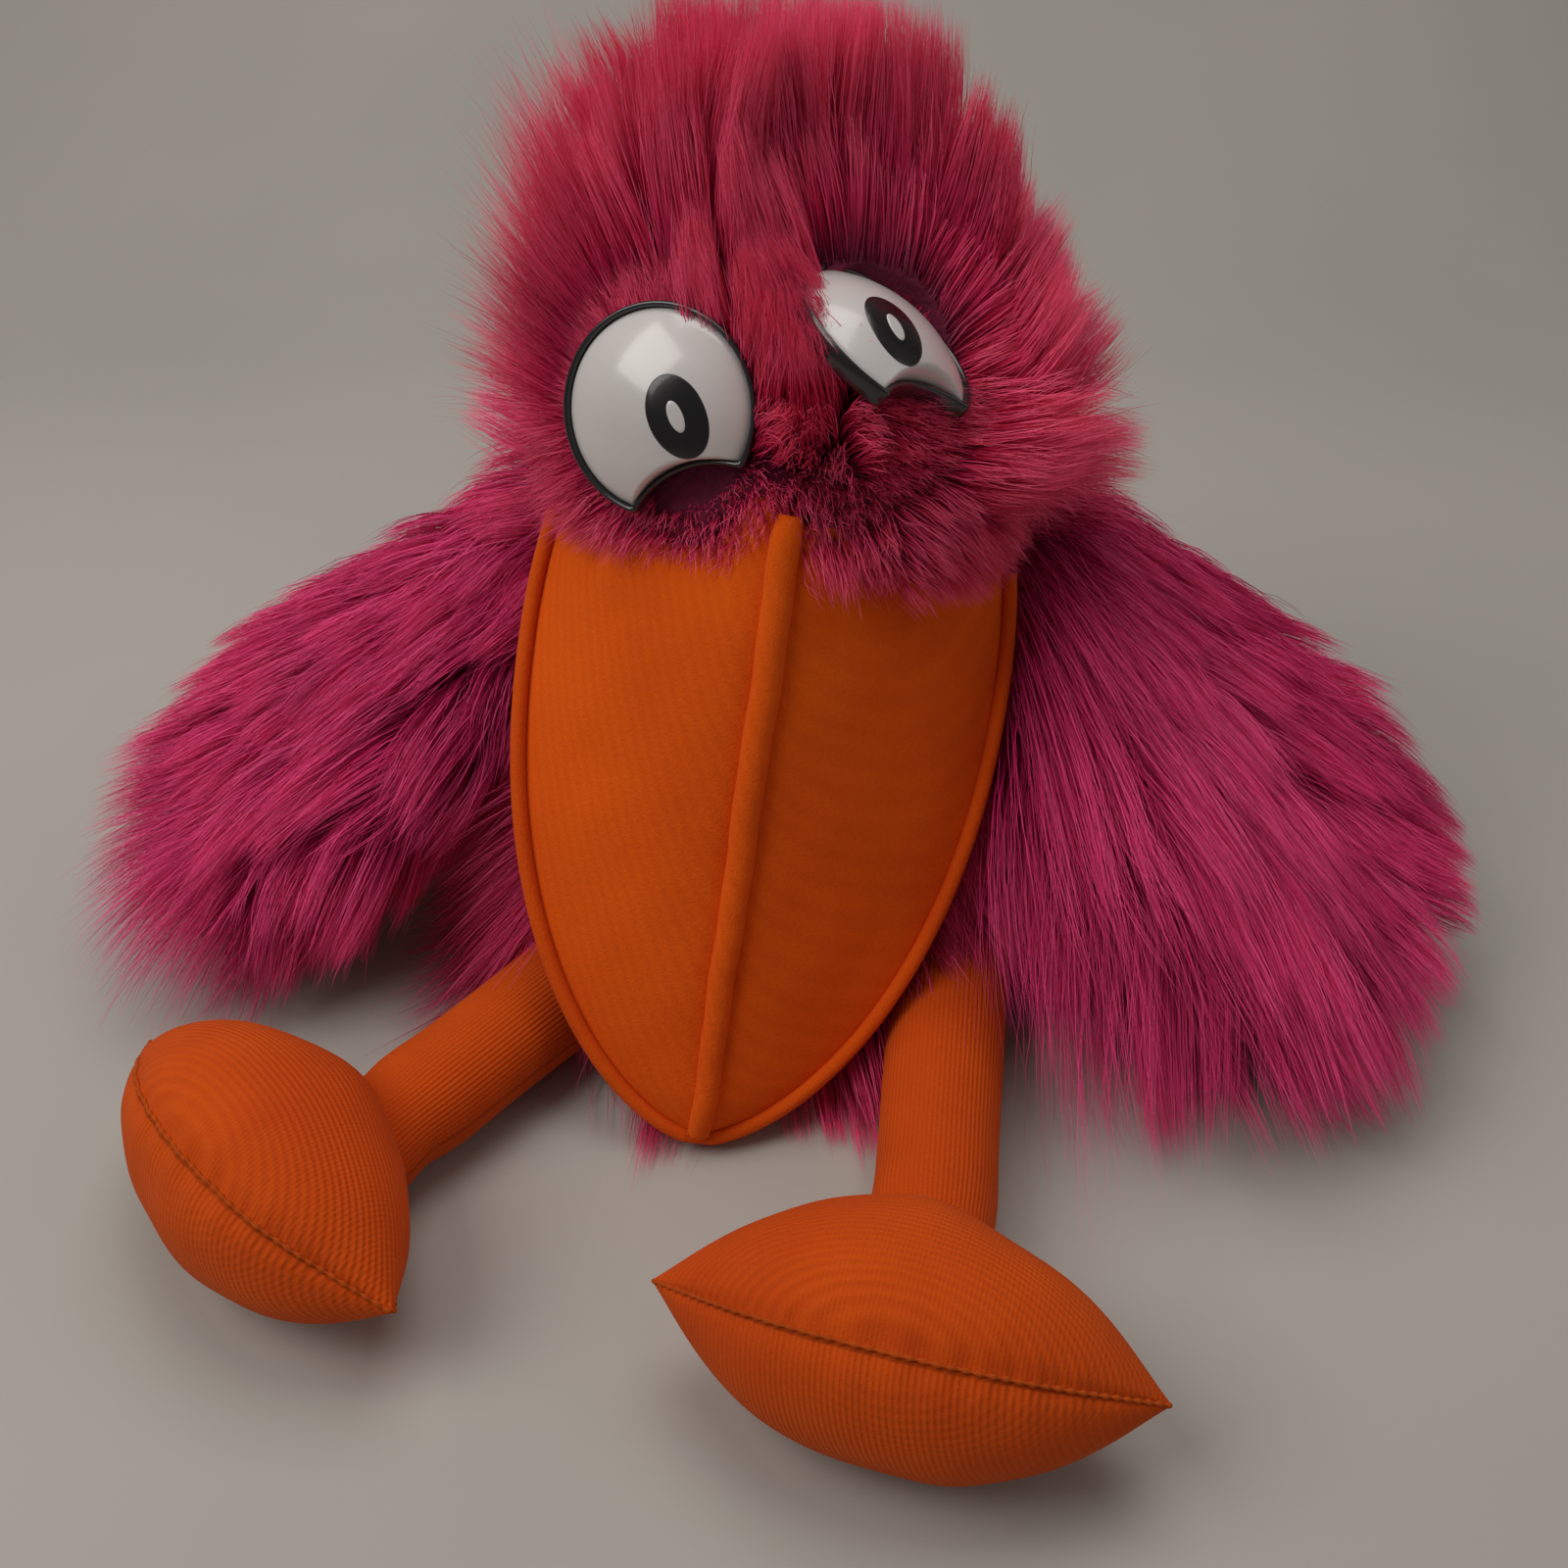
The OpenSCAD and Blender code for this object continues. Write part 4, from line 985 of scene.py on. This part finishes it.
def grow(name, body, skin, count, keep, comb, material, seed, width=0.5, locks=(5.5, 15.0), clump=(0.62, 0.55),
         droop=0.25, wild=0.10):
    """Hair on a skin: clumped locks with a few loose hairs, as flat tapered ribbons."""
    rng = np.random.default_rng(seed)
    root, n = scatter(skin, count, keep, seed)
    start, end, length = comb(root, n)
    loose = rng.random(count) < wild
    length = length * rng.normal(1, 0.16, count).clip(0.5, 1.4) * np.where(loose, 1.25, 1)
    patch = wave_noise(root, 120, seed + 5) * 0.35 + wave_noise(root, 330, seed + 6) * 0.25
    swirl = unit(rng.normal(size=(count, 3)))
    field = np.stack([wave_noise(root, 100, seed + k) for k in (11, 12, 13)], -1) * 0.16
    start = unit(start + swirl * 0.16)
    end = unit(end + field + swirl * np.where(loose, 0.45, 0.10)[:, None])
    length = length * (1 + 0.16 * patch)
    line = [root]
    for i in range(1, POINTS):
        t = (i - 0.5) / (POINTS - 1)
        d = unit(start * (1 - t) ** 1.3 + end * (1 - (1 - t) ** 1.3) + np.array([0, 0, -1.0]) * droop * t ** 1.5)
        line.append(line[-1] + d * (length / (POINTS - 1) * MM)[:, None])
    P = np.stack(line, 1)
    t = np.linspace(0, 1, POINTS)[None, :, None]
    tone = np.zeros(count)
    for spacing, strength, share in zip(locks, clump, (0.5, 0.5)):
        m = max(8, int(1.2 * skin_area(skin, keep) * 1e6 / spacing ** 2))
        m = min(m, count // 4)
        centre = rng.choice(count, m, replace=False)
        k = nearest(root, root[centre])
        g = P[centre][k]
        back = (root - root[centre][k])[:, None, :]
        aim = g + back * 0.22
        c = strength * t ** 1.25 * (np.where(loose, 0.15, 1) * np.minimum(1, length / 30))[:, None, None]
        c = c * rng.uniform(0.75, 1.1, count)[:, None, None]
        P = P + (aim - P) * c
        tone += share * rng.normal(0, 1, m)[k]
    P += (rng.normal(size=(count, 1, 3)) * 0.0011 * t ** 1.5)
    P += np.sin(t * 5.5 + rng.uniform(0, 6.28, (count, 1, 1))) * rng.normal(size=(count, 1, 3)) * 0.0007 * t
    P[:, 1:, 2] = np.maximum(P[:, 1:, 2], 0.0007 + rng.random((count, 1)) * 0.002)
    # no hair reaches past the part's bounding box, grown by a small margin, at the sides and top
    off = P - P[:, :1]
    f = np.ones(count)
    for ax in range(3):
        for lim, s in ((LIMIT_LO[ax], -1), (LIMIT_HI[ax], 1)):
            if ax == 2 and s < 0:
                continue
            far = (off[:, :, ax] * s).max(1)
            room = np.maximum(0.0, (lim - root[:, ax]) * s)
            f = np.minimum(f, np.where(far > room, room / np.maximum(far, 1e-9), 1.0))
    P = P[:, :1] + off * f[:, None, None]
    if body != "head":
        P = P[:, :1] + (P - P[:, :1]) * clear_of_beak(P)[:, None, None]
    d = np.gradient(P, axis=1)
    side = unit(np.cross(d, swirl[:, None, :] + 0 * d))
    taper = np.array([1.0, 1.0, 0.85, 0.62, 0.36, 0.04])[None, :, None]
    w = (width * rng.uniform(0.7, 1.25, count) * np.where(loose, 0.6, 1) * MM / 2)[:, None, None]
    V = np.stack([P - side * w * taper, P + side * w * taper], 2)
    tone = np.clip(0.5 + 0.15 * tone + rng.normal(0, 0.10, count), 0, 1)
    idx = (np.arange(count)[:, None] * POINTS + np.arange(POINTS - 1)[None, :]) * 2
    quads = np.stack([idx, idx + 1, idx + 3, idx + 2], -1)
    parts = math.ceil(count / MAX_HAIRS)
    for i in range(parts):
        a, b = count * i // parts, count * (i + 1) // parts
        q = (quads[a:b] - a * POINTS * 2).reshape(-1, 4)
        ob = quads_object("%s_%d" % (name, i + 1), V[a:b].reshape(-1, 3), q, material,
                          {"along": np.tile(np.repeat(np.linspace(0, 1, POINTS), 2), b - a),
                           "lock": np.repeat(tone[a:b], POINTS * 2)})
        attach(ob, body)


def skin_area(ob, keep):
    key = (ob.name, keep.__name__)
    if key not in AREAS:
        me = ob.data
        n = len(me.polygons)
        area, mid, no = np.empty(n, np.float32), np.empty(n * 3, np.float32), np.empty(n * 3, np.float32)
        me.polygons.foreach_get("area", area)
        me.polygons.foreach_get("center", mid)
        me.polygons.foreach_get("normal", no)
        AREAS[key] = float((area * keep(mid.reshape(-1, 3).astype(float), no.reshape(-1, 3).astype(float))).sum())
    return AREAS[key]


AREAS = {}
UP = np.array([0, 0, 1.0])
FORWARD = BEAK_R @ np.array([0, -1.0, 0])


def head_facts(p):
    q = (p - PIVOT) / MM
    b = q @ BEAK_R
    return q, unit(q), b, np.degrees(np.arctan2(b[:, 2], -b[:, 1])) % 360


def near_eye(p, side):
    Re, at = eye_place(side)
    e = (p - at) / MM @ Re
    return e, np.hypot(e[:, 0], e[:, 1]), Re


def keep_head(p, n):
    q, rhat, b, th = head_facts(p)
    ok = (np.linalg.norm(q, axis=1) > 55) & (th > 20) & (th < 251) & ((n * rhat).sum(1) > 0.2)
    for side in EYES:
        e, rho, _ = near_eye(p, side)
        ok &= ~((rho < 25.5) & (e[:, 2] > -7) & (e[:, 2] < 30))
    long = sstep(0, 40, q[:, 2])
    return ok * (0.75 + 0.6 * long)


def comb_head(p, n):
    q, rhat, b, th = head_facts(p)
    x = q[:, :1]
    sx = np.tanh(x / 25)
    up = sstep(-12, 26, q[:, 2])[:, None]
    crest = sstep(8, 48, q[:, 2])
    fan = np.column_stack([q[:, 0] / 60 * 0.12, q[:, 1] / 60 * 0.22, np.zeros(len(q))])
    high = UP * 1.15 + fan + rhat * 0.06
    right = sstep(10, 45, q[:, 0]) * sstep(-62, -30, q[:, 2]) * sstep(34, 4, q[:, 2])
    low = rhat * 0.70 + np.column_stack([0.40 * sx[:, 0] + 0.55 * right, np.zeros(len(q)), -0.55 + 0.50 * right])
    end = low * (1 - up) + high * up
    length = 30 + 33 * crest * (1 - 0.60 * sstep(14, 58, np.abs(q[:, 0] + 2))) + 16 * right
    brow = (sstep(86, 70, th) * (th < 120))[:, None]
    over = FORWARD * 0.60 + rhat * 0.22 + np.column_stack([0.85 * sx[:, 0], np.zeros(len(q)), np.zeros(len(q))])
    end = end * (1 - brow) + over * brow
    length = length * (1 - brow[:, 0]) + 16 * brow[:, 0]
    nose = sstep(30, 14, np.abs(q[:, 0] + 3)) * sstep(70, 80, th) * sstep(140, 112, th)
    length = length * (1 - nose) + 34 * nose
    end = end * (1 - nose[:, None]) + (UP * 1.3 + rhat * 0.12) * nose[:, None]
    for side in EYES:
        e, rho, Re = near_eye(p, side)
        w = sstep(46, 27, rho) * (e[:, 2] > -35)
        away = unit(np.column_stack([e[:, 0], e[:, 1], 0 * rho])) @ Re.T
        end = unit(end) + away * (w * 1.5 * (1 - 0.8 * nose))[:, None]
        under = (rho < 30) * (e[:, 2] < 0) * (nose < 0.5)
        length = length * (1 - 0.25 * w) * np.where(under > 0, 0.35, 1)
    flat = np.maximum(crest, nose)
    start = n * (0.85 - 0.45 * flat)[:, None] + unit(end) * (0.6 + 0.3 * flat)[:, None]
    return start, end, length


def keep_body(p, n):
    rho = body_rho(p)
    r = np.hypot(p[:, 0], p[:, 1])
    ok = (rho > 0.885) & (r > 0.056) & (n[:, 2] > -0.75)
    ok |= (p[:, 2] > 0.118) & (rho > 0.15) & (n[:, 2] > 0.1) & (np.linalg.norm(p - PIVOT, axis=1) > 0.0625)
    return ok * 1.0


def comb_body(p, n):
    q = p / MM
    flat = unit(np.column_stack([q[:, 0], q[:, 1] + 10, np.zeros(len(q))]))
    high = sstep(95, 150, q[:, 2])[:, None]
    base = flat * 0.75 + n * 0.15 - UP * 0.55
    top = flat * 0.95 + UP * 0.10
    end = base * (1 - high) + top * high
    front = sstep(-30, -90, q[:, 1]) * sstep(60, 20, q[:, 2])
    beside = sstep(8, 24, np.abs(q[:, 0])) * sstep(34, 14, q[:, 2])
    end = end + np.column_stack([0.15 * np.sign(q[:, 0]), np.full(len(q), -0.7), np.zeros(len(q))]) * front[:, None]
    length = 40 + (12 + 26 * beside) * front + 12 * high[:, 0] * sstep(0, 40, q[:, 0])
    start = n * 0.8 + unit(end) * 0.6
    return start, end, length


def keep_wing(side):
    R, at = wing_place(side)

    def keep(p, n):
        return np.ones(len(p))
    keep.__name__ = "wing_" + side
    return keep


def comb_wing(side):
    R, at = wing_place(side)

    def comb(p, n):
        q = (p - at) @ R / MM
        out = sstep(90, 160, q[:, 0])
        front = sstep(-10, 50, q[:, 1] * (1 if side == "left" else -1))
        end = np.column_stack([np.ones(len(q)), q[:, 1] / 55 * 0.42, np.sign(q[:, 2]) * 0.16]) @ R.T + n * 0.16
        end += np.array([0, -0.55, -0.15]) * (front * (0.6 if side == "left" else 1.9))[:, None]
        length = 46 - 8 * out + (34 if side == "right" else 0) * front
        root = sstep(30, -12, q[:, 0])
        length = length * (1 - 0.15 * root)
        start = n * 0.65 + unit(end) * 0.7
        return start, end, length
    return comb


def keep_throat(p, n):
    q, rhat, b, th = head_facts(p)
    return ((np.linalg.norm(q, axis=1) > 57) & ((n * rhat).sum(1) > 0.3)) * 1.0


def comb_throat(p, n):
    q, rhat, b, th = head_facts(p)
    end = rhat * 0.6 - UP * 0.5
    return n * 0.8 + end * 0.5, end, np.full(len(p), 20.0)


grow("head_hair", "head", head_skin, 66000, keep_head, comb_head, FUR_CREST, 101, 0.34)
grow("body_hair", "body", body_skin, 57000, keep_body, comb_body, FUR, 202, 0.42)
grow("throat_hair", "jaw", throat_skin, 3500, keep_throat, comb_throat, FUR, 303, 0.45)
for i, side in enumerate(("left", "right")):
    grow("wing_%s_hair" % side, "wing_" + side, wing_skins[side], 36000, keep_wing(side), comb_wing(side),
         FUR_WING, 404 + i * 50, 0.40, droop=0.30)

# ------------------------------------------------------------------ stage, light and camera
m, nt, bsdf = nodes_of("backdrop_paper")
v = coords(nt)
n = tex_noise(nt, v, 3.0, 3)
nt.links.new(ramp(nt, [(0.3, (0.42, 0.40, 0.37)), (0.7, (0.46, 0.435, 0.40))], n), bsdf.inputs["Base Color"])
bsdf.inputs["Roughness"].default_value = 0.9
prof = [(-1.6, 0.0), (0.45, 0.0)]
for a in np.linspace(0, np.pi / 2, 14)[1:]:
    prof.append((0.45 + 0.55 * math.sin(a), 0.55 - 0.55 * math.cos(a)))
prof.append((1.0, 2.2))
pv = [(x, y, z - 0.0001) for y, z in prof for x in (-2.2, 2.2)]
pf = [(2 * i, 2 * i + 1, 2 * i + 3, 2 * i + 2) for i in range(len(prof) - 1)]
floor = mesh_object("backdrop", pv, pf, m)


def area(name, loc, target, size, power, colour=(1, 1, 1)):
    li = bpy.data.lights.new(name, "AREA")
    li.shape = "SQUARE"
    li.size = size
    li.energy = power
    li.color = colour
    ob = bpy.data.objects.new(name, li)
    ob.location = loc
    ob.rotation_euler = (Vector(target) - Vector(loc)).to_track_quat("-Z", "Y").to_euler()
    bpy.context.scene.collection.objects.link(ob)


area("key", (-0.80, -0.40, 1.05), (0, -0.08, 0.08), 0.8, 7.6, (1.0, 0.97, 0.93))
area("fill", (1.05, -0.35, 0.65), (0, -0.08, 0.08), 0.8, 1.0, (1.0, 0.96, 0.90))
area("top", (0.05, 0.20, 1.35), (0, -0.10, 0.1), 0.9, 6.5, (1.0, 0.98, 0.96))
bpy.context.scene.view_settings.view_transform = "Standard"
world = bpy.data.worlds.new("studio")
bpy.context.scene.world = world
world.use_nodes = True
world.node_tree.nodes["Background"].inputs["Color"].default_value = (1.0, 0.97, 0.94, 1)
world.node_tree.nodes["Background"].inputs["Strength"].default_value = 0.15

cam = bpy.data.cameras.new("camera")
cam.sensor_width = 36.0
cam.lens = 18.0 / math.tan(math.radians(25.0))
co = bpy.data.objects.new("camera", cam)
co.location = (0.0, -0.4945, 0.3789)
co.rotation_euler = (Vector((0, -0.090, 0.085)) - co.location).to_track_quat("-Z", "Y").to_euler()
bpy.context.scene.collection.objects.link(co)
bpy.context.scene.camera = co
